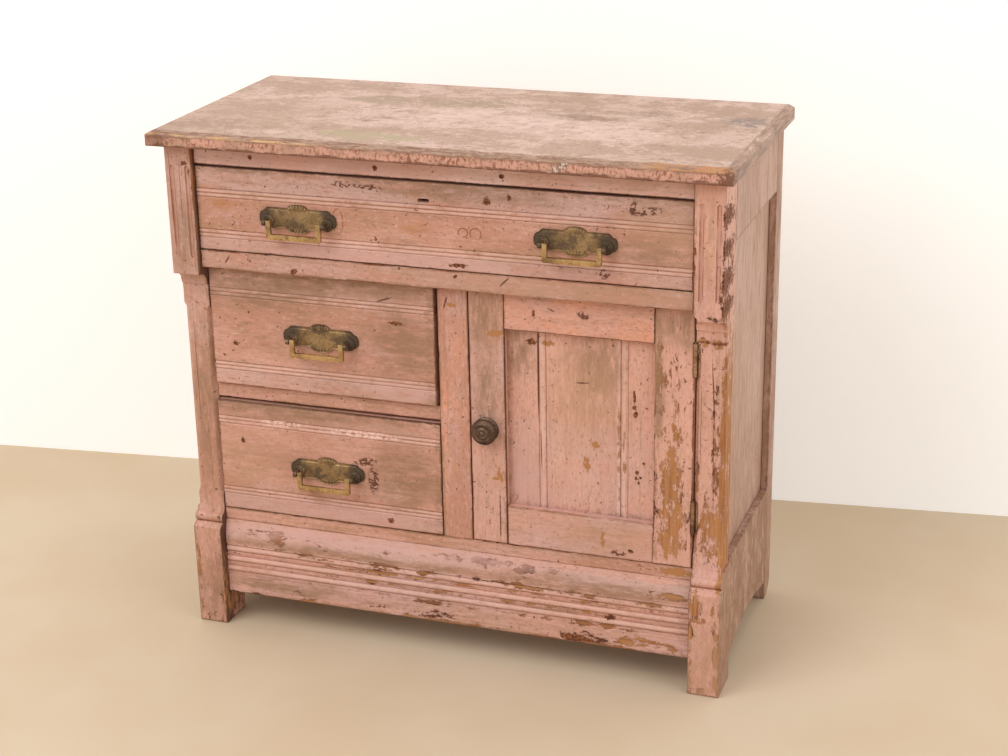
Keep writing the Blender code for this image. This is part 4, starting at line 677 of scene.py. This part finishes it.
def top_front_edge(graph):
    """The bevel is rubbed to orange wood and brown, with a painted highlight along its lower arris; the
    upright edge is pink with brown crackle.
    """
    low, high = graph.low, graph.high
    front = graph.minus(graph.y, low.y)
    ragged = graph.scaled(graph.noise(60, 8, 0.75, (0.4, 1, 1)), 0.03, -0.015)
    bevel = graph.band(graph.math("ADD", front, ragged), 0.013, 0.009)
    graph.coat(TOP_TAN, bevel, 0.7)
    graph.coat(TOP_BROWN, bevel, graph.cloud(0.48, 0.54, 140, 9, 0.78, (0.2, 1, 1)), 0.9)
    graph.coat(EDGE_BROWN, bevel, graph.cloud(0.52, 0.58, 320, 6, 0.76, (0.2, 1, 1)), 0.7)
    # Painted highlight: an orange line along the bevel's lower arris, mostly on the left half
    line = graph.band(graph.scaled(ragged, 0.2, front), 0.0042, 0.002)
    right = graph.band(graph.x, 0.26, 0.32)
    where = graph.most(graph.times(graph.band(graph.x, -0.02, -0.2), 0.9), right, 0.1)
    broken = graph.noise(70, 8, 0.75, (0.3, 1, 1))
    graph.coat(TOP_ARRIS_HIGHLIGHT, line, where, graph.band(broken, 0.44, 0.54))
    graph.coat(BARE_WOOD, bevel, right, graph.band(broken, 0.44, 0.5), 0.9)
    lower = graph.band(graph.z, high.z - 0.0048, high.z - 0.0062)
    face = graph.times(lower, graph.band(front, 0.003, 0.001))
    graph.coat(graph.mix(graph.cloud(0.42, 0.58, 30, 8, 0.74, (0.5, 1, 1)), PINK, EDGE_PINK), face)
    crackle = graph.cloud(0.515, 0.55, 220, 9, 0.8, (1, 1, 0.6))
    amount = graph.most(graph.cloud(0.36, 0.54, 9, 4, 0.6, (1, 1, 1)), 0.35)
    graph.coat(BARE_DARK, face, crackle, amount, 0.9)
    wavy = graph.scaled(graph.noise(90, 8, 0.75, (0.4, 1, 1)), 0.018, -0.009)
    height = graph.math("ADD", graph.z, wavy)
    graph.coat(EDGE_BROWN, face, graph.band(height, low.z + 0.004, low.z + 0.002), 0.85)
    graph.coat(TOP_BROWN, face, graph.band(height, high.z - 0.0078, high.z - 0.0062), 0.7)
    for x, across, share in ((high.x - 0.004, 0.013, 0.85), (low.x + 0.01, 0.02, 0.5)):
        corner = graph.spot((x, low.y, 0.71), (across, 0.02, 0.01), 0, 2.6, 0.2, 160)
        graph.coat(EDGE_BROWN, corner, share)
    chip = graph.spot((0.175, low.y, 0.711), (0.012, 0.01, 0.0045), 25, 0.9, 0.2, 120)
    graph.coat(TOP_BROWN, chip, 0.7)
    graph.coat(CHIP_WHITE, chip, graph.cloud(0.5, 0.54, 360, 4, 0.7))


def top_right_end(graph):
    """The bevel along the right end is streaked across the grain, with a dirty arris."""
    start = graph.high.x - 0.01
    ends = graph.band(graph.x, start - 0.0005, start + 0.0015)
    graph.coat(TOP_TAN, ends, 0.6)
    lines = graph.noise(150, 8, 0.76, (1, 0.14, 1))
    graph.coat(TOP_BROWN, ends, graph.band(lines, 0.49, 0.55), 0.85)
    graph.coat(TOP_PALE, ends, graph.band(lines, 0.43, 0.38), 0.7)
    arris = graph.band(graph.gap(graph.x, start), 0.0012, 0.0004)
    graph.coat(TOP_BROWN, arris, graph.cloud(0.42, 0.54, 60, 8, 0.75), 0.8)


def top_paint():
    """The top: worn pale pink with tan patches, brown streaks along the grain and stains."""
    graph = Graph("top_board_paint", 3.1, "top_board")
    broad = graph.noise(6, 8, 0.68)
    graph.color = graph.mix(graph.band(broad, 0.4, 0.58), TOP_PINK, TOP_BEIGE)
    graph.coat(TOP_PALE, graph.cloud(0.54, 0.59, 30, 10, 0.8, (0.7, 1, 1), 0.4), 0.6)
    graph.coat(TOP_TAN, graph.cloud(0.495, 0.53, 12, 12, 0.78, (0.85, 1, 1)), 0.72)
    streak = graph.noise(90, 9, 0.78, (0.35, 1, 1))
    graph.coat(TOP_TAN, graph.band(streak, 0.52, 0.62), 0.42)
    graph.coat(TOP_BROWN, graph.cloud(0.565, 0.59, 40, 12, 0.82, (0.6, 1, 1)), 0.9)
    fine = graph.noise(420, 5, 0.74, (0.5, 1, 1))
    graph.coat(TOP_BROWN, graph.band(fine, 0.5, 0.62), 0.4)
    graph.coat(TOP_PALE, graph.band(fine, 0.46, 0.36), 0.35)
    graph.coat(TOP_BROWN, graph.cloud(0.59, 0.62, 150, 8, 0.76, (0.3, 1, 1)), 0.85)
    gritty = graph.cloud(0.43, 0.5, 80, 12, 0.84, (0.7, 1, 1))
    for x, y, across, deep, tint, share in TOP_STAINS:
        centre = (x * MM, y * MM, graph.high.z)
        mask = graph.spot(centre, (across * MM, deep * MM, 0.05), 0, 2.4, 0.3, 18)
        graph.coat(tint, mask, gritty, share)
    left = graph.times(graph.band(graph.x, -0.05, -0.34), graph.band(graph.y, 0.1, -0.12))
    graph.coat(TOP_TAN, left, graph.cloud(0.4, 0.54, 26, 12, 0.8), 0.35)
    top_right_end(graph)
    top_front_edge(graph)
    edge = graph.edge_distance()
    graph.coat(TOP_BROWN, graph.band(edge, 0.004, 0.0), graph.cloud(0.44, 0.56, 70, 9, 0.78), 0.6)
    wood, _ = lost_paint(graph, edge, 1.2, (0.5, 1, 1))
    graph.coat(DARK_CHIP, wood, 0.8)
    height = graph.scaled(wood, -0.8, graph.scaled(fine, -0.35, graph.math("MULTIPLY", streak, -0.6)))
    return graph.finish(graph.scaled(broad, 0.25, 0.34), height, sheen=0.35)


def plain_wood(node, grain, shift):
    """Unpainted softwood with growth rings stretched along the grain and dull dust on it."""
    graph = Graph(node + "_pine", shift)
    rings = graph.noise(42, 3, 0.5, GRAIN[grain], 0.7)
    wave = graph.math("SINE", graph.math("MULTIPLY", rings, 60))
    tone = graph.mix(graph.band(wave, -0.8, 1.0), INNER_WOOD, INNER_DARK)
    graph.color = graph.mix(0.45, tone, INNER_WOOD)
    fine = graph.noise(420, 4, 0.6, GRAIN[grain])
    graph.coat(INNER_DARK, graph.band(fine, 0.48, 0.7), 0.45)
    dust = graph.noise(9, 4, 0.6)
    graph.coat(DUST, graph.band(dust, 0.42, 0.66), 0.35)
    return graph.finish(graph.scaled(dust, 0.2, 0.62), fine, 0.0003, 0.5)


def aged_metal(name, shift, colors, roughness=0.42, plate=None):
    """Old cast metal: bright where hands rub it, near black in patches and at a plate's ends."""
    bright, mid, dark = colors
    graph = Graph(name, shift, plate)
    graph.color = graph.mix(graph.cloud(0.4, 0.6, 38, 5, 0.65), mid, bright)
    speck = graph.noise(260, 4, 0.65)
    graph.coat(dark, graph.band(speck, 0.48, 0.66), 0.55)
    cover = graph.times(graph.cloud(0.52, 0.64, 55, 4, 0.6), 0.7)
    if plate:
        cover = graph.most(cover, dark_ends(graph))
    graph.coat(dark, cover)
    graph.shader.inputs["Metallic"].default_value = 0.85
    rough = graph.scaled(cover, 0.22, graph.scaled(speck, 0.25, roughness - 0.12))
    return graph.finish(rough, speck, 0.00025, 0.5, 0.5)


def dark_ends(graph):
    """A pull's plate is near black at its ends, where nobody polished it."""
    half = (graph.high.x - graph.low.x) / 2
    away = graph.gap(graph.x, graph.low.x + half)
    ragged = graph.scaled(graph.noise(60, 4, 0.6), 0.034, -0.017)
    return graph.times(graph.band(graph.math("ADD", away, ragged), half * 0.45, half * 0.8), 0.92)


def placed(name, data):
    """A new object in the scene."""
    obj = bpy.data.objects.new(name, data)
    bpy.context.scene.collection.objects.link(obj)
    return obj


def linked(name, shape):
    """A new object in the scene from a mesh shape."""
    mesh = bpy.data.meshes.new(name)
    shape.to_mesh(mesh)
    shape.free()
    return placed(name, mesh)


def dressed(node, suffix, shape, material):
    """A finished piece that takes the place of a CAD node and rides with its body."""
    obj = linked(node + suffix, shape)
    obj.data.materials.append(material)
    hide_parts(node)
    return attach(obj, NODES[node]["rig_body"])


def close_ring(shape, first, second):
    """Faces between two rings of as many points."""
    for index in range(len(first)):
        after = (index + 1) % len(first)
        shape.faces.new((first[index], second[index], second[after], first[after]))


def board_shape(node):
    """A CAD node's mesh as welded faces with flat areas in one piece."""
    shape = bmesh.new()
    shape.from_mesh(NODES[node].data)
    bmesh.ops.remove_doubles(shape, verts=shape.verts, dist=1e-5)
    flat = math.radians(1.5)
    bmesh.ops.dissolve_limit(shape, angle_limit=flat, verts=shape.verts, edges=shape.edges)
    shape.normal_update()
    return shape


def is_arris(edge, sharpness):
    if len(edge.link_faces) != 2 or edge.calc_length() < LONG_EDGE:
        return False
    return edge.is_convex and edge.calc_face_angle() > math.radians(sharpness)


def split_edge(edge):
    """Cut an edge into short lengths without cutting the faces beside it."""
    pieces = [edge]
    count = max(1, round(edge.calc_length() / EDGE_SEGMENT))
    vertex = edge.verts[0]
    for left in range(count, 1, -1):
        piece, vertex = bmesh.utils.edge_split(edge, vertex, 1 / left)
        pieces.append(piece)
    return pieces


def chip_depth(place, width, chip):
    """How far an arris is worn back at a point: a slow wave and a few deeper chips."""
    wave = noise.noise(place * 45) * 0.25 * width
    hit = max(0.0, noise.noise(place * 80 + Vector((5, 3, 8))) - 0.3) * 2.4
    long_hit = max(0.0, noise.noise(place * 24 + Vector((1, 9, 4))) - 0.32) * 1.6
    return max(0.0, wave) + chip * min(1.0, hit + long_hit)


def worn_board(node, material, width=0.0008, chip=0.0012, sharpness=50, soften=32):
    """The board's own shape with its long arrises rounded by uneven amounts."""
    shape = board_shape(node)
    arrises = [edge for edge in shape.edges if is_arris(edge, sharpness)]
    cut = [piece for edge in arrises for piece in split_edge(edge)]
    rounding = {"offset_type": "OFFSET", "segments": 2, "profile": 0.5, "affect": "EDGES"}
    made = bmesh.ops.bevel(shape, geom=cut, offset=width, clamp_overlap=False, **rounding)
    strips = set(made["faces"])
    shape.normal_update()
    moves = []
    for vertex in made["verts"]:
        step = -vertex.normal * chip_depth(vertex.co, width, chip)
        for face in vertex.link_faces:
            if face not in strips:
                step -= face.normal * step.dot(face.normal)
        moves.append((vertex, step))
    for vertex, step in moves:
        vertex.co += step
    shape.normal_update()
    smooth_shape(shape, soften)
    for edge in shape.edges:
        beside = {face in strips for face in edge.link_faces}
        edge.smooth = edge.smooth and len(beside) == 1
    return dressed(node, "_worn", shape, material)


def smooth_shape(shape, degrees):
    for face in shape.faces:
        face.smooth = True
    for edge in shape.edges:
        edge.smooth = edge.calc_face_angle(0) < math.radians(degrees)


def finished(shape, degrees=35):
    bmesh.ops.recalc_face_normals(shape, faces=shape.faces)
    smooth_shape(shape, degrees)


def add_turned(shape, profile, matrix, steps=48):
    """Turn a profile of (radius, height) in mm round the local Z axis; it starts and ends on the axis."""
    rings = []
    for radius, height in profile:
        ring = []
        for step in range(steps if radius else 1):
            angle = 2 * math.pi * step / steps
            across = radius * MM
            point = Vector((across * math.cos(angle), across * math.sin(angle), height * MM))
            ring.append(shape.verts.new(matrix @ point))
        rings.append(ring)
    for upper, lower in zip(rings, rings[1:]):
        if len(upper) == len(lower):
            close_ring(shape, upper, lower)
            continue
        for step in range(steps):
            after = (step + 1) % steps
            if len(upper) == 1:
                shape.faces.new((upper[0], lower[step], lower[after]))
            else:
                shape.faces.new((upper[step], lower[0], upper[after]))


def add_block(shape, outline, front, back, inset=0.0, bevel=0.0006):
    """A plate in the XZ plane between two Y values, its front arrises bevelled."""
    verts = [shape.verts.new((x, back, z)) for x, z in outline]
    base = shape.faces.new(verts)
    base.normal_update()
    if base.normal.y < 0:
        base.normal_flip()
    made = bmesh.ops.extrude_face_region(shape, geom=[base], use_keep_orig=True)["geom"]
    moved = [item for item in made if isinstance(item, bmesh.types.BMVert)]
    bmesh.ops.translate(shape, verts=moved, vec=(0, front - back, 0))
    top = [item for item in made if isinstance(item, bmesh.types.BMFace)][0]
    shape.normal_update()
    bmesh.ops.inset_region(shape, faces=[top], thickness=bevel, depth=bevel, use_even_offset=True)
    if inset:
        bmesh.ops.inset_region(shape, faces=[top], thickness=inset, depth=0, use_even_offset=True)
        bmesh.ops.inset_region(shape, faces=[top], thickness=0.0007, depth=-0.0007)


PLATE_HALF_WIDTH = 0.0542
PLATE_CREST = 0.02
PLATE_FOOT = 0.019
# Right half of the plate's outline from the crest down: shares of the half width and of the height
PLATE_OUTLINE_SHARES = (
    (0, 1), (0.06, 0.99), (0.12, 0.97), (0.17, 0.93), (0.21, 0.88), (0.245, 0.81), (0.265, 0.73),
    (0.29, 0.7), (0.34, 0.71), (0.78, 0.71), (0.82, 0.66), (0.85, 0.58), (0.88, 0.48), (0.93, 0.44),
    (0.97, 0.35), (1, 0.14), (1, -0.2), (0.97, -0.38), (0.93, -0.45), (0.88, -0.49), (0.85, -0.6),
    (0.81, -0.67), (0.76, -0.7), (0.34, -0.66), (0.3, -0.66), (0.28, -0.74), (0.25, -0.82), (0.2, -0.9),
    (0.14, -0.96), (0.07, -0.99), (0, -1),
)


def plate_outline(x, z):
    right = []
    for across, up in PLATE_OUTLINE_SHARES:
        right.append((across * PLATE_HALF_WIDTH, up * (PLATE_CREST if up > 0 else PLATE_FOOT)))
    left = [(-across, up) for across, up in reversed(right[1:-1])]
    return [(x + across, z + up) for across, up in right + left]


# Half section of a rosette from the middle out: radius and height above the plate in mm
ROSETTE_PROFILE = (
    (0, 4.6), (2.2, 4.5), (3.6, 4), (4.4, 3), (5, 2.8), (5.8, 3.4), (6.6, 3.4), (7.4, 2.8), (7.9, 1.6),
    (8, -0.5), (0, -0.5),
)
# Fans of ribs on the crest and foot: how many, then in metres the spread and height of their inner ends,
# those of their outer ends, how far the outer ends bend away at the sides, and the radius
RIB_FANS = (
    (7, 0.019, 0.011, 0.025, 0.0192, -0.012, 0.0014),
    (5, 0.015, -0.0125, 0.019, -0.018, 0.008, 0.0012),
)
PLATE_THICKNESS = 0.0022
PLATE_BORDER = 0.0022
PIVOT_DROP = 0.003
PIN_RADIUS = 0.0018
LUG_SPREAD = 0.083
LUG_THICKNESS = 0.0046
LUG_RADIUS = 0.004


def add_rib(shape, start, end, radius, face):
    """A half-sunk rib on the plate between two points of its face."""
    along = Vector((end[0] - start[0], 0, end[1] - start[1]))
    middle = Vector(((start[0] + end[0]) / 2, face, (start[1] + end[1]) / 2))
    made = bmesh.ops.create_uvsphere(shape, u_segments=10, v_segments=8, radius=1)["verts"]
    size = Matrix.Diagonal((radius, radius * 0.9, along.length / 2, 1))
    turn = Vector((0, 0, 1)).rotation_difference(along.normalized()).to_matrix().to_4x4()
    bmesh.ops.transform(shape, matrix=Matrix.Translation(middle) @ turn @ size, verts=made)


def add_lug(shape, x, y, z, root):
    """The drilled lug that a bail's pin turns in, rounded at its tip."""
    steps = 20
    half = LUG_THICKNESS / 2
    outer, inner = [], []
    for step in range(steps + 1):
        angle = math.radians(-90 + 180 * step / steps)
        outer.append((y - LUG_RADIUS * math.cos(angle), z + LUG_RADIUS * math.sin(angle)))
    outer += [(root, z + LUG_RADIUS), (root, z - LUG_RADIUS)]
    for point in outer:
        across, up = point[0] - y, point[1] - z
        length = math.hypot(across, up)
        inner.append((y + across * PIN_RADIUS / length, z + up * PIN_RADIUS / length))
    rings = []
    for ring, place in ((outer, x - half), (outer, x + half), (inner, x + half), (inner, x - half)):
        rings.append([shape.verts.new((place, across, up)) for across, up in ring])
    for first, second in zip(rings, rings[1:] + rings[:1]):
        close_ring(shape, first, second)


def detailed_plate(number, material):
    """Cast plate: bevelled border and sunk field, ribs fanned on crest and foot, rosettes and lugs."""
    node = f"pull_{number}_plate"
    low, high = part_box(node)
    x = (low.x + high.x) / 2
    z = high.z - PLATE_CREST
    face = high.y - PLATE_THICKNESS
    bail_low, bail_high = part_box(f"pull_{number}_bail")
    pivot_y = (bail_low.y + bail_high.y) / 2
    pivot_z = z - PIVOT_DROP
    shape = bmesh.new()
    add_block(shape, plate_outline(x, z), face, high.y, PLATE_BORDER)
    for count, inner_reach, inner_height, outer_reach, outer_height, bend, radius in RIB_FANS:
        for index in range(count):
            share = (index - (count - 1) / 2) / (count - 1)
            start = (x + share * inner_reach, z + inner_height)
            end = (x + share * outer_reach, z + outer_height + bend * share * share)
            add_rib(shape, start, end, radius, face)
    for side in (-1, 1):
        middle = x + side * LUG_SPREAD / 2
        place = Matrix.Translation((middle, face, pivot_z)) @ FACING
        add_turned(shape, ROSETTE_PROFILE, place, 40)
        add_lug(shape, middle, pivot_y, pivot_z, face - 0.002)
    finished(shape)
    dressed(node, "_cast", shape, material)


def rounded_node(node, material, width):
    """A small CAD node with every arris slightly rounded."""
    shape = board_shape(node)
    edges = [edge for edge in shape.edges if edge.is_convex and edge.calc_face_angle(0) > math.radians(40)]
    rounding = {"segments": 2, "profile": 0.6, "affect": "EDGES"}
    bmesh.ops.bevel(shape, geom=edges, offset=width, clamp_overlap=True, **rounding)
    finished(shape)
    dressed(node, "_finished", shape, material)


# Door knob: turned rings from the middle out, radius and height above the door in mm
KNOB_PROFILE = (
    (0, 20), (1.2, 20), (2.2, 19.6), (2.8, 18.6), (3.6, 18.2), (4.8, 18.8), (6, 19), (7, 18.4),
    (7.8, 17.2), (8.8, 16.8), (10.4, 17.4), (12, 17.7), (13.4, 17.4), (14.6, 16.4), (15.2, 15.4),
    (16, 14.8), (17, 13.6), (17.7, 12), (17.8, 10.6), (17.4, 9.2), (16.2, 7.6), (14.6, 6.2), (13.8, 4.8),
    (14, 3.6), (15.2, 2.4), (16.6, 1.6), (17.2, 1), (17.2, 0.3), (4, 0.3), (4, -20), (0, -20),
)
TONGUE_HALF = 0.006
TONGUE_THICKNESS = 0.003
# The corner that the right post has lost, from the top rail's end and the block's lower edge: (x, z)
LOST_CORNER = ((-0.006, -0.01), (0.0085, -0.01), (0.0085, 0.0), (-0.006, 0.0165))


def detailed_knob(material):
    """The knob in fine rings on its spindle, with the latch tongue behind the door."""
    low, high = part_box("door_knob")
    x = (low.x + high.x) / 2
    z = high.z - (high.x - low.x) / 2
    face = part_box("door_stile_left")[0].y
    shape = bmesh.new()
    add_turned(shape, KNOB_PROFILE, Matrix.Translation((x, face, z)) @ FACING, 72)
    outline = []
    for start, middle in ((0, z), (180, low.z + TONGUE_HALF)):
        for step in range(13):
            angle = math.radians(start + 180 * step / 12)
            outline.append((x + TONGUE_HALF * math.cos(angle), middle + TONGUE_HALF * math.sin(angle)))
    add_block(shape, outline, high.y - TONGUE_THICKNESS, high.y, 0.0, 0.0004)
    finished(shape, 50)
    dressed("door_knob", "_turned", shape, material)


def cut_post_corner(post):
    """The right post has lost the lower inner corner of its thick block."""
    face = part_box("front_post_right")[0].y
    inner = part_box("top_rail")[1].x
    shape = bmesh.new()
    rings = []
    for y in (face - 0.01, face + 0.0222):
        rings.append([shape.verts.new((inner + x, y, BLOCK_BOTTOM + z)) for x, z in LOST_CORNER])
        shape.faces.new(rings[-1])
    close_ring(shape, *rings)
    bmesh.ops.recalc_face_normals(shape, faces=shape.faces)
    cutter = linked("corner_cutter", shape)
    modifier = post.modifiers.new("corner", "BOOLEAN")
    modifier.operation = "DIFFERENCE"
    modifier.solver = "EXACT"
    modifier.object = cutter
    bpy.context.view_layer.update()
    graph = bpy.context.evaluated_depsgraph_get()
    cut = bpy.data.meshes.new_from_object(post.evaluated_get(graph))
    post.modifiers.clear()
    post.data = cut
    bpy.data.objects.remove(cutter)


# Beads of a board: across which axis, depth, half width and centres; a drawer's are shares of its height
BEADS = {
    "door_panel": ("x", 0.0016, 0.005, (0.1317, 0.238)),
    "plinth_board": ("z", 0.003, 0.0062, (0.1155, 0.1001, 0.0847)),
    "drawer_1_front": ("z", 0.0014, 0.0055, (0.198, 0.682)),
    "drawer_2_front": ("z", 0.0014, 0.0055, (0.159, 0.786)),
    "drawer_3_front": ("z", 0.0014, 0.0055, (0.169, 0.824)),
}

# Painted boards of the front: node, grain, two pinks, tan, grime, wear, arris width and chip depth in mm
FRONT_BOARDS = (
    # The top rail's pale base is partly painted light, lifting it against the shade under the top's
    # overhang
    ("top_rail", "x", PALE_PINK, CLEAR_PINK, 0.25, 0.2, 1, 0.6, 0.8),
    ("upper_drawer_rail", "x", PINK, DEEP_PINK, 0.7, 0.6, 1.3, 0.7, 1.2),
    ("middle_drawer_rail", "x", PINK, DEEP_PINK, 0.5, 0.6, 1, 0.6, 0.8),
    ("base_rail", "x", PINK, DEEP_PINK, 0.7, 0.5, 1, 0.6, 0.8),
    ("centre_stile", "z", ORANGE_PINK, DEEP_PINK, 0.2, 0.2, 1, 0.5, 0.6),
    ("plinth_board", "x", LAVENDER, PINK, 0.55, 0.5, 2, 0.7, 1.2),
    ("front_post_left", "z", PINK, DEEP_PINK, 0.55, 0.55, 1.2, 0.7, 0.8),
    ("front_post_right", "z", CLEAR_PINK, PINK, 0.3, 0.2, 1.7, 0.6, 1),
    ("drawer_1_front", "x", PINK, DEEP_PINK, 0.7, 0.6, 1, 0.8, 1),
    ("drawer_2_front", "x", PINK, DEEP_PINK, 0.6, 0.6, 1, 0.8, 1),
    ("drawer_3_front", "x", PINK, DEEP_PINK, 0.6, 0.6, 1, 0.8, 1),
    ("door_stile_left", "z", PINK, PINK, 0.4, 0.35, 1, 0.5, 0.7),
    ("door_stile_right", "z", CLEAR_PINK, PINK, 0.2, 0.2, 1.2, 0.5, 0.7),
    ("door_top_rail", "x", ORANGE_PINK, PINK, 0.2, 0.2, 1, 0.4, 0.6),
    ("door_bottom_rail", "x", LAVENDER, PINK, 0.35, 0.3, 1, 0.4, 0.6),
    ("door_panel", "z", CLEAR_PINK, PINK, 0.2, 0.2, 1, 0.4, 0.3),
)
# Boards of the sides: name, pattern shift, brown, pink, arris width and chip depth in mm
SIDE_BOARDS = (
    ("rear_post", 1.7, 0.7, 0.3, 0.9, 1.4),
    ("side_panel", 2.9, 0.00, 0.1, 0.4, 0.3),
    ("side_top_rail", 4.4, 0.05, 0.2, 0.5, 0.6),
    ("side_bottom_rail", 5.8, 1.00, 0.0, 0.8, 1.0),
)


def dress_front():
    for index, (node, grain, *look, width, chip) in enumerate(FRONT_BOARDS):
        material = front_paint(node, grain, 1.37 * index + 0.3, *look)
        board = worn_board(node, material, width * MM, chip * MM)
        if node == "front_post_right":
            cut_post_corner(board)


def dress_sides():
    for side, turn in (("left", 20), ("right", 0)):
        for name, shift, brown, pink, width, chip in SIDE_BOARDS:
            node = f"{name}_{side}"
            material = side_paint(node, shift + turn, brown, pink)
            worn_board(node, material, width * MM, chip * MM)


def dress_inside():
    """Unpainted boards keep their CAD shape with softened arrises and a pine finish."""
    shift = 30.0
    for node, obj in NODES.items():
        if obj.hide_render:
            continue
        grain = "y" if ("side" in node or "runner" in node) else "x"
        if node == "partition":
            grain = "z"
        shift += 1.3
        worn_board(node, plain_wood(node, grain, shift), 0.0005, 0.0004)


def dress_metal():
    """Pulls, knob and hinges."""
    for number in range(1, 5):
        plate, bail = f"pull_{number}_plate", f"pull_{number}_bail"
        brass = aged_metal(plate + "_brass", 50 + number * 3.3, PLATE_METAL, 0.46, plate)
        detailed_plate(number, brass)
        brass = aged_metal(bail + "_brass", 70 + number * 2.1, BAIL_METAL, 0.34)
        rounded_node(bail, brass, 0.0007)
    detailed_knob(aged_metal("knob_patina", 90, KNOB_METAL, 0.5))
    for name in ("upper_hinge", "lower_hinge"):
        finish = aged_metal(name + "_patina", 95, HINGE_METAL)
        for leaf in ("_post_leaf", "_door_leaf"):
            rounded_node(name + leaf, finish, 0.0002)


def stage_material(name, color, roughness, glow=0.0):
    """A plain stage colour; the back of its faces is clear, so that other views see past the wall."""
    graph = Graph(name)
    graph.color = color
    graph.coat((1, 1, 1), graph.cloud(0.3, 0.7, 3, 3), 0.08)
    graph.shader.inputs["Emission Color"].default_value = (1, 1, 1, 1)
    graph.shader.inputs["Emission Strength"].default_value = glow
    graph.finish(roughness, None)
    behind = graph.add("ShaderNodeNewGeometry").outputs["Backfacing"]
    clear = graph.add("ShaderNodeBsdfTransparent")
    choose(graph.tree, behind, graph.shader, clear, "Material Output")
    return graph.material


def choose(tree, share, first, second, output):
    """Send a mix of two shaders to the output."""
    choice = tree.nodes.new("ShaderNodeMixShader")
    for source, target in zip((share, first.outputs[0], second.outputs[0]), choice.inputs):
        tree.links.new(source, target)
    tree.links.new(choice.outputs[0], tree.nodes[output].inputs["Surface"])


def stage_sheet(name, profile, material):
    """A sheet drawn out along X from two points (y, z); its ends follow the slope of the wall line."""
    shape = bmesh.new()
    rows = []
    for x in (STAGE_REACH, -STAGE_REACH):
        rows.append([shape.verts.new((x, y + WALL_SLOPE * x, z)) for y, z in profile])
    shape.faces.new((*rows[0], *reversed(rows[1])))
    sheet = linked(name, shape)
    sheet.data.materials.append(material)


def make_stage():
    """A pale floor, and a plain wall behind the stand."""
    floor = stage_material("floor", FLOOR_COLOR, 0.7)
    wall = stage_material("wall", WALL_COLOR, 0.9, WALL_GLOW)
    stage_sheet("stage_floor", ((-STAGE_REACH, 0), (STAGE_REACH, 0)), floor)
    stage_sheet("stage_wall", ((WALL_START, 0), (WALL_START, WALL_HEIGHT)), wall)


def make_lights():
    for name, place, target, size, power in LIGHTS:
        data = bpy.data.lights.new(name, "AREA")
        data.shape = "SQUARE"
        data.size = size
        data.energy = power
        light = placed(name, data)
        light.location = place
        light.rotation_euler = (Vector(target) - Vector(place)).to_track_quat("-Z", "Y").to_euler()


def make_world():
    """Soft light all round, which the camera and gloss see as white."""
    world = bpy.data.worlds.new("studio")
    world.use_nodes = True
    tree = world.node_tree
    light = tree.nodes["Background"]
    light.inputs["Color"].default_value = WORLD_COLOR
    light.inputs["Strength"].default_value = WORLD_STRENGTH
    white = tree.nodes.new("ShaderNodeBackground")
    white.inputs["Color"].default_value = (1, 1, 1, 1)
    rays = tree.nodes.new("ShaderNodeLightPath").outputs
    shown = rays["Is Camera Ray"]
    for kind in ("Is Glossy Ray", "Is Transmission Ray"):
        either = tree.nodes.new("ShaderNodeMath")
        either.operation = "MAXIMUM"
        tree.links.new(shown, either.inputs[0])
        tree.links.new(rays[kind], either.inputs[1])
        shown = either.outputs[0]
    choose(tree, shown, light, white, "World Output")
    bpy.context.scene.world = world


def make_camera():
    camera = placed("camera", bpy.data.cameras.new("camera"))
    camera.data.lens = CAMERA_LENS
    camera.data.sensor_width = 36
    place = Matrix.Translation(CAMERA_PLACE)
    for degrees, axis in ((CAMERA_AZIMUTH, "Z"), (90 - CAMERA_PITCH, "X"), (CAMERA_ROLL, "Z")):
        place = place @ Matrix.Rotation(math.radians(degrees), 4, axis)
    camera.matrix_world = place
    bpy.context.scene.camera = camera


bpy.context.scene.view_settings.view_transform = "Standard"
make_camera()
make_stage()
make_world()
make_lights()
dress_front()
dress_sides()
worn_board("top_board", top_paint(), 0.0009, 0.0011, 35, 20)
dress_metal()
dress_inside()
